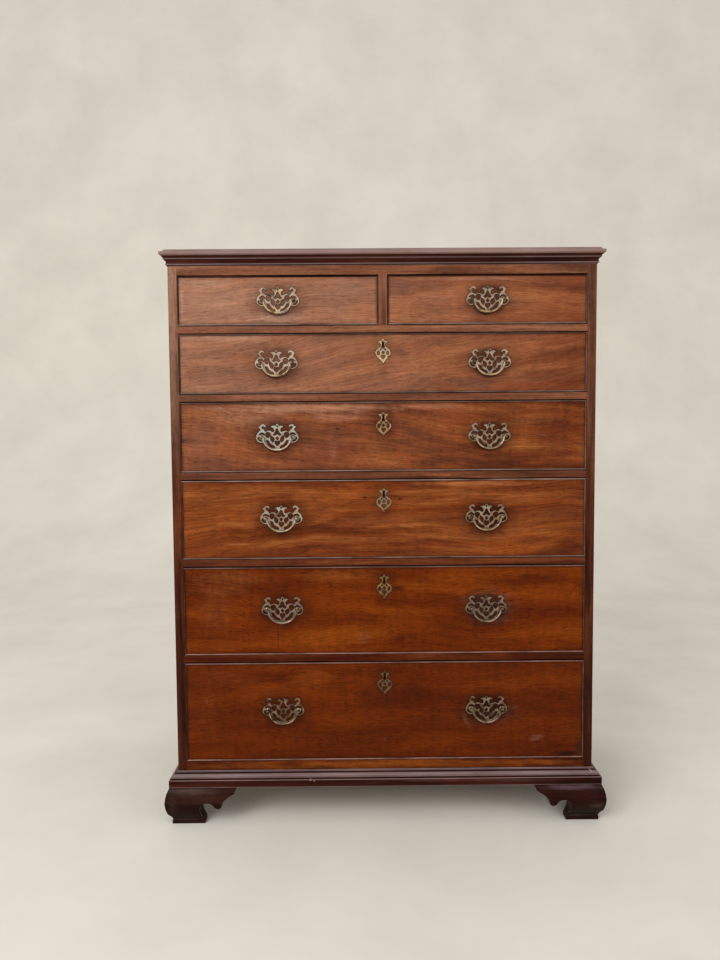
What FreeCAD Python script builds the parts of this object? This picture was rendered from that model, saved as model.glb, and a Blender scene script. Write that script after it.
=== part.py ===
import FreeCAD, Part
import math
import os
from FreeCAD import Vector

# A tall English mahogany chest of drawers of about 1770: two short drawers over five long graduated
# ones, a moulded top, a moulded base and four ogee bracket feet, with pierced brasses and swinging bails.
# Millimetres, +Z up. The front faces -Y and X runs to the right of someone facing it. The origin is on
# the floor, in the middle of the box that the whole chest fills.

# Carcase
case_width = 1040.0
case_depth = 500.0
side_thickness = 22.0
bottom_thickness = 18.0
back_thickness = 12.0
back_rebate = 8.0
back_board_count = 5
housing_depth = 8.0
housing_setback = 8.0
rail_thickness = 17.0
rail_depth = 60.0
top_rail_thickness = 22.0
top_rail_visible = 22.0
bottom_rail_visible = 23.0
dust_board_thickness = 10.0
runner_width = 34.0
kicker_width = 40.0
divider_width = 21.0
divider_tenon = 6.0
guide_height = 20.0
stop_width = 30.0
stop_length = 14.0
stop_height = 5.0
stop_inset = 60.0

# Top, cornice and base mouldings
top_thickness = 16.0
top_projection = 16.8
cornice_height = 23.5
cornice_projection = 13.4
base_height = 36.5
base_projection = 19.5

# Ogee bracket feet
foot_height = 94.0
foot_projection = 29.0
foot_length = 150.0
bracket_inset = 12.0
back_bracket_thickness = 20.0
back_bracket_length = 105.0
glue_block_width = 30.0
glue_block_rise = 4.0

# Drawers
long_drawer_count = 5
first_opening = 122.0
opening_step = 26.0
opening_trims = [0.0, 0.0, 0.0, -2.0, -3.0, 0.0]
drawer_back_gap = 20.0
front_thickness = 20.0
side_board = 10.0
back_board = 10.0
drawer_bottom = 7.0
bottom_rise = 7.0
groove_depth = 5.0
side_drop = 3.0
gap_side = 1.0
gap_top = 2.5
gap_bottom = 1.5
running_gap = 0.3
bead_thickness = 3.2
bead_depth = 6.0
bead_projection = 2.5
bead_crown = 0.5
tail_pitch = 78.0
tail_share = 0.62
tail_slope = 6.0

# Brasses
post_spacing = 76.2
plate_thickness = 1.6
post_radius = 3.9
post_nose = 3.4
axis_distance = 11.0
bail_thickness = 4.2
bail_drop = 31.0
bail_facets = 8
bail_clearance = 0.3
pin_radius = 1.5
pin_clearance = 0.12
pin_end_gap = 0.6

# Locks
escutcheon_half_width = 19.5
keyhole_in_plate = 15.6
keyhole_width = 4.0
keyhole_height = 13.0
lock_width = 60.0
lock_below_keyhole = 22.0
lock_setback = 9.0
bolt_width = 22.0
bolt_thickness = 5.0
bolt_length = 24.0
bolt_clearance = 0.3
bolt_sink = 0.5
mortice_depth = 7.0

# Where the brasses of each long drawer sit, set out by eye: the handles' middle from the middle of the chest,
# its rise above the middle of the front, and the keyhole's drop below the front's top edge.
brass_places = {2: (260.0, 1.0, 28.0), 3: (260.0, 0.0, 40.0), 4: (253.0, 3.0, 36.0),
                5: (253.0, 3.0, 36.0), 6: (254.0, 3.0, 38.0)}

# Levels and planes that follow from the sizes
half_width = case_width / 2
inner_face = half_width - side_thickness
housed = inner_face + housing_depth
front_y = (foot_projection - case_depth) / 2
back_y = front_y + case_depth
back_inner = back_y - back_thickness
floor_top = foot_height + bottom_thickness
case_line = foot_height + base_height
row_count = long_drawer_count + 1


def opening_levels():
    """Bottom and top of every row of drawers, listed from the top row down."""
    rows = []
    z = case_line + bottom_rail_visible
    for row in reversed(range(row_count)):
        height = first_opening + row * opening_step + opening_trims[row]
        rows.insert(0, (z, z + height))
        z += height + rail_thickness
    return rows


levels = opening_levels()
top_rail_bottom = levels[0][1]
case_top = top_rail_bottom + top_rail_visible + cornice_height
chest_top = case_top + top_thickness


def box(x0, x1, y0, y1, z0, z1):
    return Part.makeBox(x1 - x0, y1 - y0, z1 - z0, Vector(x0, y0, z0))


def mirror_x(shape):
    return shape.mirror(Vector(0, 0, 0), Vector(1, 0, 0))


def save(node, solids):
    """Each node is one file with one or more separate solids."""
    Part.makeCompound(solids).exportStep(os.path.join("parts", node + ".step"))


# Outlines are a start point, then one tuple per edge: (u, v) ends a straight edge and
# (mid_u, mid_v, u, v) ends an arc through its middle point.
def prism(path, place, along):
    first = place(*path[0])
    here = first
    edges = []
    for step in path[1:]:
        end = place(*step[-2:])
        if len(step) == 2:
            edges.append(Part.LineSegment(here, end).toShape())
        else:
            edges.append(Part.Arc(here, place(*step[:2]), end).toShape())
        here = end
    if here.distanceToPoint(first) > 1e-6:
        edges.append(Part.LineSegment(here, first).toShape())
    return Part.Face(Part.Wire(edges)).extrude(along)


def mirrored(half):
    """Closes an outline whose right half runs from the middle line back to the middle line."""
    whole = list(half)
    for k in range(len(half) - 1, 0, -1):
        x, z = half[k - 1][-2:]
        arc = [(-half[k][0], half[k][1])] if len(half[k]) == 4 else []
        whole.append(tuple(v for point in arc for v in point) + (-x, z))
    return whole


def scaled(path, across, up):
    return [tuple(v * (up if k % 2 else across) for k, v in enumerate(step)) for step in path]


# Mouldings: profiles in shares of (projection, height), from the case face outwards and from the top down.
top_edge = [(0, 0), (0.12, 0), (0.37, 0.07, 0.55, 0.33), (0.55, 0.41), (0.79, 0.41),
            (0.96, 0.52), (1, 0.70), (0.85, 1), (0, 1)]
cornice_profile = [(0, 0), (1, 0), (0.66, 0.17), (0.66, 0.34), (0.57, 0.34),
                   (0.29, 0.49, 0.21, 0.79), (0.26, 0.79), (0.26, 0.89), (0.09, 0.89), (0.09, 1), (0, 1)]
base_profile = [(0, 0), (0.13, 0), (0.13, 0.05), (0.32, 0.12), (0.63, 0.20, 0.76, 0.37),
                (0.76, 0.43), (1, 0.49), (1, 1), (0, 1)]
# The foot's ogee: a bold bulge that draws in to an ankle above a plain pad.
ogee_profile = [(0.64, 0), (1, 0.38, 0.78, 0.70), (0.53, 0.80), (0.42, 0.88), (0.47, 0.90), (0.47, 1)]
# The bracket's scrolled edge in shares of (length, height): tip, ogee sweep, spur, arch, ankle, pad.
bracket_edge = [(1, 0), (0.955, 0.15), (0.845, 0.245), (0.77, 0.35), (0.74, 0.515), (0.685, 0.555), (0.63, 0.515),
                (0.53, 0.385, 0.385, 0.52), (0.40, 0.715), (0.455, 0.89), (0.455, 1)]


def front_wedge(inner, reach, z0, z1):
    """Everything in front of the case, mitred at both front corners."""
    plan = [(-half_width + inner, front_y + inner), (-half_width - reach, front_y - reach),
            (half_width + reach, front_y - reach), (half_width - inner, front_y + inner)]
    return prism(plan, lambda x, y: Vector(x, y, z0), Vector(0, 0, z1 - z0))


def side_wedge(inner, reach, z0, z1):
    """Everything to the right of the case, mitred at the front corner and square at the back."""
    plan = [(half_width - inner, front_y + inner), (half_width + reach, front_y - reach),
            (half_width + reach, back_y), (half_width - inner, back_y)]
    return prism(plan, lambda x, y: Vector(x, y, z0), Vector(0, 0, z1 - z0))


def moulding(profile, projection, z_top, height):
    """Front, right and left lengths of a moulding planted on the case, mitred together."""
    section = scaled(profile, projection, height)
    front = prism(section, lambda p, h: Vector(-half_width - projection, front_y - p, z_top - h),
                  Vector(case_width + 2 * projection, 0, 0))
    side = prism(section, lambda p, h: Vector(half_width + p, front_y - projection, z_top - h),
                 Vector(0, case_depth + projection, 0))
    front = front.common(front_wedge(0, projection, z_top - height, z_top))
    side = side.common(side_wedge(0, projection, z_top - height, z_top))
    return [front, side, mirror_x(side)]


def top_board():
    """One board whose moulded edge runs round the front and both ends."""
    edge = scaled(top_edge, top_projection, top_thickness)
    ends = [(0, 0)] + [(half_width + step[0], step[1]) if len(step) == 2 else
                       (half_width + step[0], step[1], half_width + step[2], step[3]) for step in edge[1:-1]]
    ends.append((0, top_thickness))
    across = prism(mirrored(ends), lambda x, h: Vector(x, front_y - top_projection, chest_top - h),
                   Vector(0, case_depth + top_projection, 0))
    along = prism(edge + [(-case_depth, top_thickness), (-case_depth, 0)],
                  lambda p, h: Vector(-half_width - top_projection, front_y - p, chest_top - h),
                  Vector(case_width + 2 * top_projection, 0, 0))
    return across.common(along)


# Carcase
def rail(z0, z1, depth):
    """A rail between the sides, with stub ends housed in them behind the front edge."""
    body = box(-inner_face, inner_face, front_y, front_y + depth, z0, z1)
    ends = box(-housed, housed, front_y + housing_setback, front_y + depth, z0, z1)
    return body.fuse(ends).removeSplitter()


def rail_levels():
    """Bottom and top of each rail between two rows, from the top down."""
    return [(levels[row + 1][1], levels[row][0]) for row in range(long_drawer_count)]


def case_side():
    side = box(inner_face, half_width, front_y, back_y, foot_height, case_top)
    housings = [box(inner_face, housed, front_y + housing_setback, back_inner, z0, z1)
                for z0, z1 in rail_levels()]
    housings.append(box(inner_face, housed, front_y, back_inner, foot_height, floor_top))
    for z0, z1, depth in [(floor_top, levels[-1][0], rail_depth), (top_rail_bottom, case_top, top_rail_thickness)]:
        housings.append(box(inner_face, housed, front_y + housing_setback, front_y + depth, z0, z1))
    housings.append(box(inner_face, inner_face + back_rebate, back_inner, back_y, foot_height, case_top))
    return side.cut(housings)


def bolt_y():
    """The middle of a lock's bolt, between the lock's face and the back of the drawer front."""
    return front_y + (lock_setback + front_thickness) / 2


def bolt_space(z0, z1):
    """The hollow that a bolt slides in, in a lock or in the rail above."""
    half_x = bolt_width / 2 + bolt_clearance
    half_y = bolt_thickness / 2 + bolt_clearance
    return box(-half_x, half_x, bolt_y() - half_y, bolt_y() + half_y, z0, z1)


def divider_tenons(z0, z1):
    half_x = divider_width / 2
    y0 = front_y + housing_setback
    y1 = front_y + rail_depth - housing_setback
    return [box(-half_x, half_x, y0, y1, z0 - divider_tenon, z0),
            box(-half_x, half_x, y0, y1, z1, z1 + divider_tenon)]


def top_divider():
    """The upright between the two short drawers, and the guide strip behind it."""
    z0, z1 = levels[0]
    half_x = divider_width / 2
    lower, upper = divider_tenons(z0, z1)
    upper = upper.common(box(-half_x, half_x, front_y, front_y + top_rail_thickness, z1, z1 + divider_tenon))
    upright = box(-half_x, half_x, front_y, front_y + rail_depth, z0, z1)
    upright = upright.fuse([lower, upper]).removeSplitter()
    guide = box(-half_x, half_x, front_y + rail_depth, back_inner, z0, z0 + guide_height)
    return [upright, guide]


def rails():
    tenons = divider_tenons(*levels[0])
    made = [rail(top_rail_bottom, case_top, top_rail_thickness).cut(tenons[1])]
    for row, (z0, z1) in enumerate(rail_levels()):
        cuts = [bolt_space(z0, z0 + mortice_depth)] + ([tenons[0]] if row == 0 else [])
        made.append(rail(z0, z1, rail_depth).cut(cuts))
    made.append(rail(floor_top, levels[-1][0], rail_depth))
    return made


def dust_boards():
    return [box(-housed, housed, front_y + rail_depth, back_inner, z1 - dust_board_thickness, z1)
            for z0, z1 in rail_levels()]


def pair(x_out, width, y0, y1, z0, z1):
    right = box(x_out - width, x_out, y0, y1, z0, z1)
    return [right, mirror_x(right)]


def runners_and_stops():
    """Runners under each dust board, bearers for the lowest drawer, kickers over the top row, and stops."""
    made = []
    y_rail = front_y + rail_depth
    for z0, z1 in rail_levels():
        made += pair(housed, runner_width, y_rail, back_inner, z0, z1 - dust_board_thickness)
    bearer_width = runner_width - housing_depth
    y_kicker = front_y + top_rail_thickness
    made += pair(inner_face, bearer_width, y_rail, back_inner, floor_top, levels[-1][0])
    made += pair(inner_face, bearer_width, y_kicker, back_inner, top_rail_bottom, case_top)
    made.append(box(-kicker_width / 2, kicker_width / 2, y_kicker, back_inner, top_rail_bottom, case_top))
    y0 = front_y + front_thickness + running_gap
    for row, (z, _) in enumerate(levels):
        centres = [inner_face - stop_inset]
        if row == 0:
            centres.append(divider_width / 2 + stop_inset)
        for x in centres:
            made += pair(x + stop_width / 2, stop_width, y0, y0 + stop_length, z, z + stop_height)
    return made


def back_boards():
    step = (case_top - foot_height) / back_board_count
    half_x = inner_face + back_rebate
    return [box(-half_x, half_x, back_inner, back_y, foot_height + k * step, foot_height + (k + 1) * step)
            for k in range(back_board_count)]


# Feet
def bracket_outline():
    """The whole side view of a bracket, from its scrolled edge round past the corner."""
    edge = scaled(bracket_edge, foot_length, foot_height)
    return edge + [(-foot_projection, foot_height), (-foot_projection, 0)]


def bracket_section():
    ogee = scaled(ogee_profile, foot_projection, foot_height)
    return [(-bracket_inset, 0)] + ogee + [(-bracket_inset, foot_height)]


def front_bracket():
    """The right half of the front: an ogee-faced bracket, mitred at the corner."""
    length = foot_length + foot_projection
    stock = prism(bracket_section(), lambda p, t: Vector(half_width - foot_length, front_y - p, foot_height - t),
                  Vector(length, 0, 0))
    scroll = prism(bracket_outline(),
                   lambda s, t: Vector(half_width - s, front_y - foot_projection, foot_height - t),
                   Vector(0, foot_projection + bracket_inset, 0))
    return stock.common(scroll).common(front_wedge(bracket_inset, foot_projection, 0, foot_height))


def side_bracket(at_back):
    """The bracket on the right-hand side, at the front or at the back."""
    y_start = back_y - foot_length if at_back else front_y - foot_projection
    y_corner = back_y if at_back else front_y
    inward = -1 if at_back else 1
    stock = prism(bracket_section(), lambda p, t: Vector(half_width + p, y_start, foot_height - t),
                  Vector(0, foot_length + foot_projection, 0))
    scroll = prism(bracket_outline(),
                   lambda s, t: Vector(half_width - bracket_inset, y_corner + inward * s, foot_height - t),
                   Vector(foot_projection + bracket_inset, 0, 0))
    return stock.common(scroll).common(side_wedge(bracket_inset, foot_projection, 0, foot_height))


def back_bracket():
    """A plain shaped board across the back of a rear foot."""
    x_out = half_width - bracket_inset
    width = glue_block_width
    outline = [(0, 0), (back_bracket_length, 0),
               ((back_bracket_length + width) / 2, foot_height * 0.45, width, foot_height), (0, foot_height)]
    return prism(outline, lambda s, t: Vector(x_out - s, back_y - back_bracket_thickness, foot_height - t),
                 Vector(0, back_bracket_thickness, 0))


def glue_block(y0):
    x1 = half_width - bracket_inset
    return box(x1 - glue_block_width, x1, y0, y0 + glue_block_width, glue_block_rise, foot_height)


def feet():
    front = [front_bracket(), side_bracket(False), glue_block(front_y + bracket_inset)]
    rear = [side_bracket(True), back_bracket(), glue_block(back_y - back_bracket_thickness - glue_block_width)]
    for name, solids in [("foot_front", front), ("foot_rear", rear)]:
        save(name + "_right", solids)
        save(name + "_left", [mirror_x(solid) for solid in solids])


# Drawers
def tail_prisms(x0, x1, y_root, y_tip, z0, z1):
    """Dovetails of one corner, wider at the tip than at the root, spaced evenly up the joint."""
    count = max(2, round((z1 - z0) / tail_pitch))
    pitch = (z1 - z0) / count
    tip = pitch * tail_share / 2
    root = tip - abs(y_tip - y_root) / tail_slope
    tails = []
    for k in range(count):
        z = z0 + (k + 0.5) * pitch
        shape = [(y_root, z - root), (y_tip, z - tip), (y_tip, z + tip), (y_root, z + root)]
        tails.append(prism(shape, lambda y, z: Vector(x0, y, z), Vector(x1 - x0, 0, 0)))
    return tails


def bead_strips(x0, x1, z0, z1):
    """Four mitred cock beads in a rebate round the front, standing proud with a ridged nose."""
    t = bead_thickness
    y_nose = front_y - bead_projection
    y_root = front_y + bead_depth
    nose = [(0, y_root), (0, y_nose + bead_crown), (t / 2, y_nose), (t, y_nose + bead_crown), (t, y_root)]
    middle_z = (z0 + z1) / 2
    middle_x = (x0 + x1) / 2

    def strip(place, along, corners, plan):
        wedge = prism(corners, plan, Vector(0, bead_depth + bead_projection, 0))
        return prism(nose, place, along).common(wedge)

    def plan(x, z):
        return Vector(x, y_nose, z)

    def flip(shape, centre, normal):
        return shape.mirror(centre, normal)

    bottom = strip(lambda d, y: Vector(x0, y, z0 + d), Vector(x1 - x0, 0, 0),
                   [(x0, z0), (x1, z0), (x1 - t, z0 + t), (x0 + t, z0 + t)], plan)
    left = strip(lambda d, y: Vector(x0 + d, y, z0), Vector(0, 0, z1 - z0),
                 [(x0, z0), (x0 + t, z0 + t), (x0 + t, z1 - t), (x0, z1)], plan)
    centre = Vector(middle_x, 0, middle_z)
    return [bottom, flip(bottom, centre, Vector(0, 0, 1)), left, flip(left, centre, Vector(1, 0, 0))]


# Brasses: outlines in shares of half the post spacing for the plates, and of the half width for the
# escutcheons, from the middle of the pair of posts and from the middle of the body.
plate_half = [(0, 0.84), (0.12, 0.735), (0.43, 0.67), (0.22, 0.59), (0.27, 0.32), (0.52, 0.42), (0.80, 0.37),
              (0.72, 0.67), (0.90, 0.83), (1.12, 0.80), (1.22, 0.67), (1.12, 0.41), (1.31, 0.24), (1.35, -0.09),
              (1.19, -0.31), (0.85, -0.30), (0.66, -0.59), (0.33, -0.79), (0, -0.84)]
tulip_hole = [(0, 0.71), (0.06, 0.55), (0.25, 0.14), (0, 0.17)]
diamond_hole = [(0, 0.03), (0.11, -0.08), (0, -0.19)]
heart_hole = [(0, -0.32), (0.12, -0.25), (0.16, -0.36), (0, -0.57)]
lens_hole = [(0.33, 0.10), (0.45, -0.08), (0.30, -0.33), (0.19, -0.12)]
scroll_hole = [(0.48, 0.17), (0.62, 0.29), (0.73, 0.12), (0.56, -0.03)]
rim_hole = [(0.70, -0.23), (0.19, -0.50), (0.16, -0.62), (0.51, -0.50)]

escutcheon_half = [(0, 1.66), (0.17, 1.32), (0.69, 1.15), (0.40, 0.96), (0.30, 0.70), (0.50, 0.50),
                   (0.86, 0.17), (1.0, -0.25), (0.78, -0.68), (0.36, -1.07), (0.14, -1.32), (0, -1.61)]
small_diamond = [(0, 0.0), (0.14, -0.16), (0, -0.32)]
teardrop_hole = [(0.56, 0.06), (0.74, -0.20), (0.58, -0.47), (0.41, -0.21)]
small_heart = [(0, -0.49), (0.14, -0.43), (0.30, -0.54), (0, -0.99)]
keyway_hole = [(0, 1.21), (0.12, 1.10), (0.09, 0.83), (0.17, 0.54), (0, 0.40)]


def pierced(outline, middle_holes, side_holes, scale, x, z):
    """A flat brass plate on a drawer face, cut through with its piercings."""
    def place(u, v):
        return Vector(x + u * scale, front_y - plate_thickness, z + v * scale)

    through = Vector(0, plate_thickness, 0)
    cuts = [prism(mirrored(hole), place, through) for hole in middle_holes]
    for hole in side_holes:
        cuts.append(prism(hole, place, through))
        cuts.append(prism([(-u, v) for u, v in hole], place, through))
    return prism(mirrored(outline), place, through).cut(cuts)


def polygon_bar(radius, start, length, axis):
    """A six-sided bar along X or Y, with two of its flats upright."""
    angles = [math.radians(30 + 60 * k) for k in range(6)]
    ring = [(radius * math.cos(a), radius * math.sin(a)) for a in angles]
    if axis == "x":
        return prism(ring, lambda u, v: start + Vector(0, u, v), Vector(length, 0, 0))
    return prism(ring, lambda u, v: start + Vector(u, 0, v), Vector(0, length, 0))


def post(x, z):
    """The boss that a bail hangs from, drilled across for the bail's pin."""
    y_axis = front_y - axis_distance
    length = axis_distance - plate_thickness + post_nose
    boss = polygon_bar(post_radius, Vector(x, y_axis - post_nose, z), length, "y")
    hole = pin_radius + pin_clearance
    return boss.cut(box(x - post_radius, x + post_radius, y_axis - hole, y_axis + hole, z - hole, z + hole))


def bail(x, z):
    """A hanging bow with two pins that turn in the posts."""
    y_axis = front_y - axis_distance
    half_t = bail_thickness / 2
    post_x = post_spacing / 2
    bow_x = post_x - post_radius - bail_clearance - half_t

    def arc(half_x, drop):
        angles = [math.pi * k / bail_facets for k in range(bail_facets + 1)]
        return [(half_x * math.cos(a), -drop * math.sin(a)) for a in angles]

    outer = arc(bow_x + half_t, bail_drop + half_t)
    inner = arc(bow_x - half_t, bail_drop - half_t)
    outline = [(outer[0][0], half_t)] + outer + [(outer[-1][0], half_t), (inner[-1][0], half_t)]
    outline += inner[::-1] + [(inner[0][0], half_t)]
    bow = prism(outline, lambda u, v: Vector(x + u, y_axis - half_t, z + v), Vector(0, bail_thickness, 0))
    reach = post_x + post_radius - pin_end_gap
    pins = [polygon_bar(pin_radius, Vector(start, y_axis, z), reach - bow_x, "x")
            for start in (x + bow_x, x - reach)]
    return bow.fuse(pins).removeSplitter()


def lock_shapes(z_top, z_key):
    """Lock case, its bolt and the keyway through the drawer front."""
    y0 = front_y + lock_setback
    y1 = front_y + front_thickness
    case = box(-lock_width / 2, lock_width / 2, y0, y1, z_key - lock_below_keyhole, z_top)
    bolt_top = z_top - bolt_sink
    well = bolt_space(bolt_top - bolt_length - bolt_clearance, z_top)
    half_y = bolt_thickness / 2
    bolt = box(-bolt_width / 2, bolt_width / 2, bolt_y() - half_y, bolt_y() + half_y, bolt_top - bolt_length, bolt_top)
    keyway = box(-keyhole_width / 2, keyhole_width / 2, front_y, y0,
                 z_key - keyhole_height / 2, z_key + keyhole_height / 2)
    return case, case.cut(well), bolt, keyway


def drawer(name, opening, handles, rise, key_drop):
    """One drawer in its opening: front, dovetailed box, cock bead, brasses, and a lock where it has one."""
    left, right, z_low, z_high = opening
    x0, x1 = left + gap_side, right - gap_side
    z0, z1 = z_low + gap_bottom, z_high - gap_top
    y_in = front_y + front_thickness
    y_end = back_inner - drawer_back_gap
    side_low = z_low + running_gap
    side_high = z1 - side_drop
    groove = side_low + bottom_rise
    floor = groove + drawer_bottom
    board = box(x0 + side_board - groove_depth, x1 - side_board + groove_depth,
                y_in - groove_depth, y_end, groove, floor)

    front_tails = []
    back_tails = []
    sides = []
    for xa, xb in [(x0, x0 + side_board), (x1 - side_board, x1)]:
        lap = tail_prisms(xa, xb, y_in, front_y + bead_depth, floor, side_high)
        through = tail_prisms(xa, xb, y_end - back_board, y_end, floor, side_high)
        lap_zone = box(xa, xb, front_y + bead_depth, y_in, z_low, z_high)
        back_zone = box(xa, xb, y_end - back_board, y_end, floor, side_high)
        plank = box(xa, xb, front_y + bead_depth, y_end, side_low, side_high)
        sides.append(plank.cut([lap_zone.cut(lap), back_zone.cut(through), board]))
        front_tails += lap
        back_tails += through

    t = bead_thickness
    front = box(x0, x1, front_y + bead_depth, y_in, z0, z1)
    front = front.fuse(box(x0 + t, x1 - t, front_y, front_y + bead_depth, z0 + t, z1 - t)).removeSplitter()
    front = front.cut(front_tails + [board])
    back = box(x0, x1, y_end - back_board, y_end, floor, side_high).cut(back_tails)

    z_post = (z0 + z1) / 2 + rise
    brasses = []
    for side, x in handles.items():
        brasses.append(pierced(plate_half, [tulip_hole, diamond_hole, heart_hole],
                               [lens_hole, scroll_hole, rim_hole], post_spacing / 2, x, z_post))
        brasses += [post(x + sign * post_spacing / 2, z_post) for sign in (-1, 1)]
        save("bail_" + name[len("drawer_"):] + side, [bail(x, z_post)])
    if key_drop:
        z_key = z1 - key_drop
        pocket, case, bolt, keyway = lock_shapes(z1, z_key)
        front = front.cut([pocket, keyway])
        brasses.append(case)
        brasses.append(pierced(escutcheon_half, [keyway_hole, small_diamond, small_heart],
                               [teardrop_hole], escutcheon_half_width, 0, z_key - keyhole_in_plate))
        save("lock_bolt_" + name[len("drawer_"):], [bolt])

    save(name + "_front", [front])
    save(name + "_box", sides + [back, board])
    save(name + "_bead", bead_strips(x0, x1, z0, z1))
    save(name + "_brasses", brasses)


def drawers():
    z_low, z_high = levels[0]
    half_divider = divider_width / 2
    middle = (half_divider + inner_face) / 2
    drawer("drawer_1_left", (-inner_face, -half_divider, z_low, z_high), {"": -middle}, 0, None)
    drawer("drawer_1_right", (half_divider, inner_face, z_low, z_high), {"": middle}, 0, None)
    for row in range(1, row_count):
        offset, rise, drop = brass_places[row + 1]
        drawer("drawer_%d" % (row + 1), (-inner_face, inner_face, *levels[row]),
               {"_left": -offset, "_right": offset}, rise, drop)


def carcase():
    side = case_side()
    save("case_side_right", [side])
    save("case_side_left", [mirror_x(side)])
    save("case_bottom", [box(-housed, housed, front_y, back_inner, foot_height, foot_height + bottom_thickness)])
    save("back_boards", back_boards())
    save("drawer_rails", rails())
    save("top_divider", top_divider())
    save("dust_boards", dust_boards())
    save("runners_and_stops", runners_and_stops())
    save("top_board", [top_board()])
    save("cornice_moulding", moulding(cornice_profile, cornice_projection, case_top, cornice_height))
    save("base_moulding", moulding(base_profile, base_projection, case_line, base_height))


os.makedirs("parts", exist_ok=True)
carcase()
feet()
drawers()
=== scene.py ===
import cmath
import math
from functools import partial

import bmesh
import bpy
from mathutils import Matrix, Vector, noise


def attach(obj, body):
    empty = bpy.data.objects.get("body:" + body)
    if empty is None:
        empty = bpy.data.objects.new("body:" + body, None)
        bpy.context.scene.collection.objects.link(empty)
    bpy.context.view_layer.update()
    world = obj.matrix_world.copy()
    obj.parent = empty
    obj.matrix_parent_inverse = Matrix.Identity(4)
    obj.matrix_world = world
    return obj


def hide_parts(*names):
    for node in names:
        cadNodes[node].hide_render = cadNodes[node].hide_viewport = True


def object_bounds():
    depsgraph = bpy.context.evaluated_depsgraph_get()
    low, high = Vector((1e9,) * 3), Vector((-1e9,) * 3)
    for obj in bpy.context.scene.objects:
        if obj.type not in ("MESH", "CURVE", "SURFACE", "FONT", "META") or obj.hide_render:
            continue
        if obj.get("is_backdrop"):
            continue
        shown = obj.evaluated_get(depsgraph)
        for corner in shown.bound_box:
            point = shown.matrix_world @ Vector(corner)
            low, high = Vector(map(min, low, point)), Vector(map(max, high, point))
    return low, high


# A tall Georgian mahogany chest of drawers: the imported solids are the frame, and the looks go round them.
# Metres, front towards -Y, origin on the floor in the middle of the chest.

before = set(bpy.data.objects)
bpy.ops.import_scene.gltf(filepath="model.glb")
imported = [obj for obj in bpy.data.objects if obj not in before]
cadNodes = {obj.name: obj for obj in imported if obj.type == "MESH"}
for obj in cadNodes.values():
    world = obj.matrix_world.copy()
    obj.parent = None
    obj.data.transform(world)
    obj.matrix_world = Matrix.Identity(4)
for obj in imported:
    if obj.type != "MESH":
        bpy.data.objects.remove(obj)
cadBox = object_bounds()  # the solids' own box, before anything is dressed
mm = 0.001

chest = {"halfWidth": 520 * mm, "frontFace": -235.5 * mm, "backFace": 264.5 * mm, "top": 1417 * mm,
         "caseTop": 1401 * mm, "caseLine": 130.5 * mm}
face = chest["frontFace"]


def linear(hexColour):
    # sRGB hex to the linear values that the shaders take
    channels = [int(hexColour[k:k + 2], 16) / 255 for k in (1, 3, 5)]
    return (*[c / 12.92 if c <= 0.04045 else ((c + 0.055) / 1.055) ** 2.4 for c in channels], 1.0)


def feed(tree, node, inputs):
    # inputs go by name or by number; a node or socket there is linked
    for key, value in inputs.items() if isinstance(inputs, dict) else enumerate(inputs):
        if isinstance(value, bpy.types.Node):
            value = value.outputs[0]
        if isinstance(value, bpy.types.NodeSocket):
            tree.links.new(value, node.inputs[key])
        else:
            node.inputs[key].default_value = value


def addNode(tree, kind, inputs=(), **settings):
    # one node with its settings; a shader node's kind goes without its prefix
    node = tree.nodes.new(kind if "Node" in kind else "ShaderNode" + kind)
    for name, value in settings.items():
        setattr(node, name, value)
    feed(tree, node, inputs)
    return node


def newMaterial(name):
    # a material, what adds nodes to it, and the piece's own coordinates
    material = bpy.data.materials.new(name)
    material.use_nodes = True
    add = partial(addNode, material.node_tree)
    return material, add, add("TexCoord").outputs["Object"]


def shaded(material, inputs):
    feed(material.node_tree, material.node_tree.nodes["Principled BSDF"], inputs)
    return material


def grainNoise(add, place, size, detail=3.0, rough=0.55, seed=0.0):
    # noise whose patches are size = (x, y, z) millimetres
    moved = add("Mapping", {
        "Vector": place, "Location": (seed, seed * 1.7, seed * 0.6), "Scale": [1000 / s for s in size]})
    return add("TexNoise", {"Vector": moved, "Scale": 1.0, "Detail": detail, "Roughness": rough}).outputs[0]


def sized(axis, along, across):
    # (x, y, z) sizes of something that is along millimetres long on the grain's axis
    return [along if axis == letter else across for letter in "xyz"]


def toned(add, colour, amount, tone, blend="MIX"):
    # colour going to tone by amount
    first, second = (linear(c) if isinstance(c, str) else c for c in (colour, tone))
    return add("Mix", {0: amount, 6: first, 7: second}, data_type="RGBA", blend_type=blend).outputs[2]


def toneRamp(add, layer, places, tones):
    # the tones, each at its place, and what lies between them
    ramp = add("ValToRGB", [layer])
    elements = ramp.color_ramp.elements
    for k in (0, -1):
        elements[k].position = places[k]
        elements[k].color = linear(tones[k])
    for place, tone in zip(places[1:-1], tones[1:-1]):
        elements.new(place).color = linear(tone)
    return ramp.outputs[0]


def linked(name, data):
    made = bpy.data.objects.new(name, data)
    bpy.context.scene.collection.objects.link(made)
    return made


def newPiece(name, mesh, material, sharpAngle=35):
    # a finished mesh becomes an object at the origin, smooth except at its arrises
    mesh.name = name
    mesh.materials.clear()
    mesh.materials.append(material)
    for polygon in mesh.polygons:
        polygon.material_index = 0
    mesh.shade_smooth()
    mesh.set_sharp_from_angle(angle=math.radians(sharpAngle))
    return linked(name, mesh)


def meshFrom(rings, closed=True):
    # skin over rings of points: each ring is one section of a bar, and the two ends are capped
    bm = bmesh.new()
    made = [[bm.verts.new(point) for point in ring] for ring in rings]
    count = len(rings[0])
    for one, two in zip(made, made[1:]):
        for k in range(count if closed else count - 1):
            after = (k + 1) % count
            bm.faces.new((one[k], one[after], two[after], two[k]))
    if closed:
        bm.faces.new(made[0][::-1])
        bm.faces.new(made[-1])
    return bm


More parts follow.
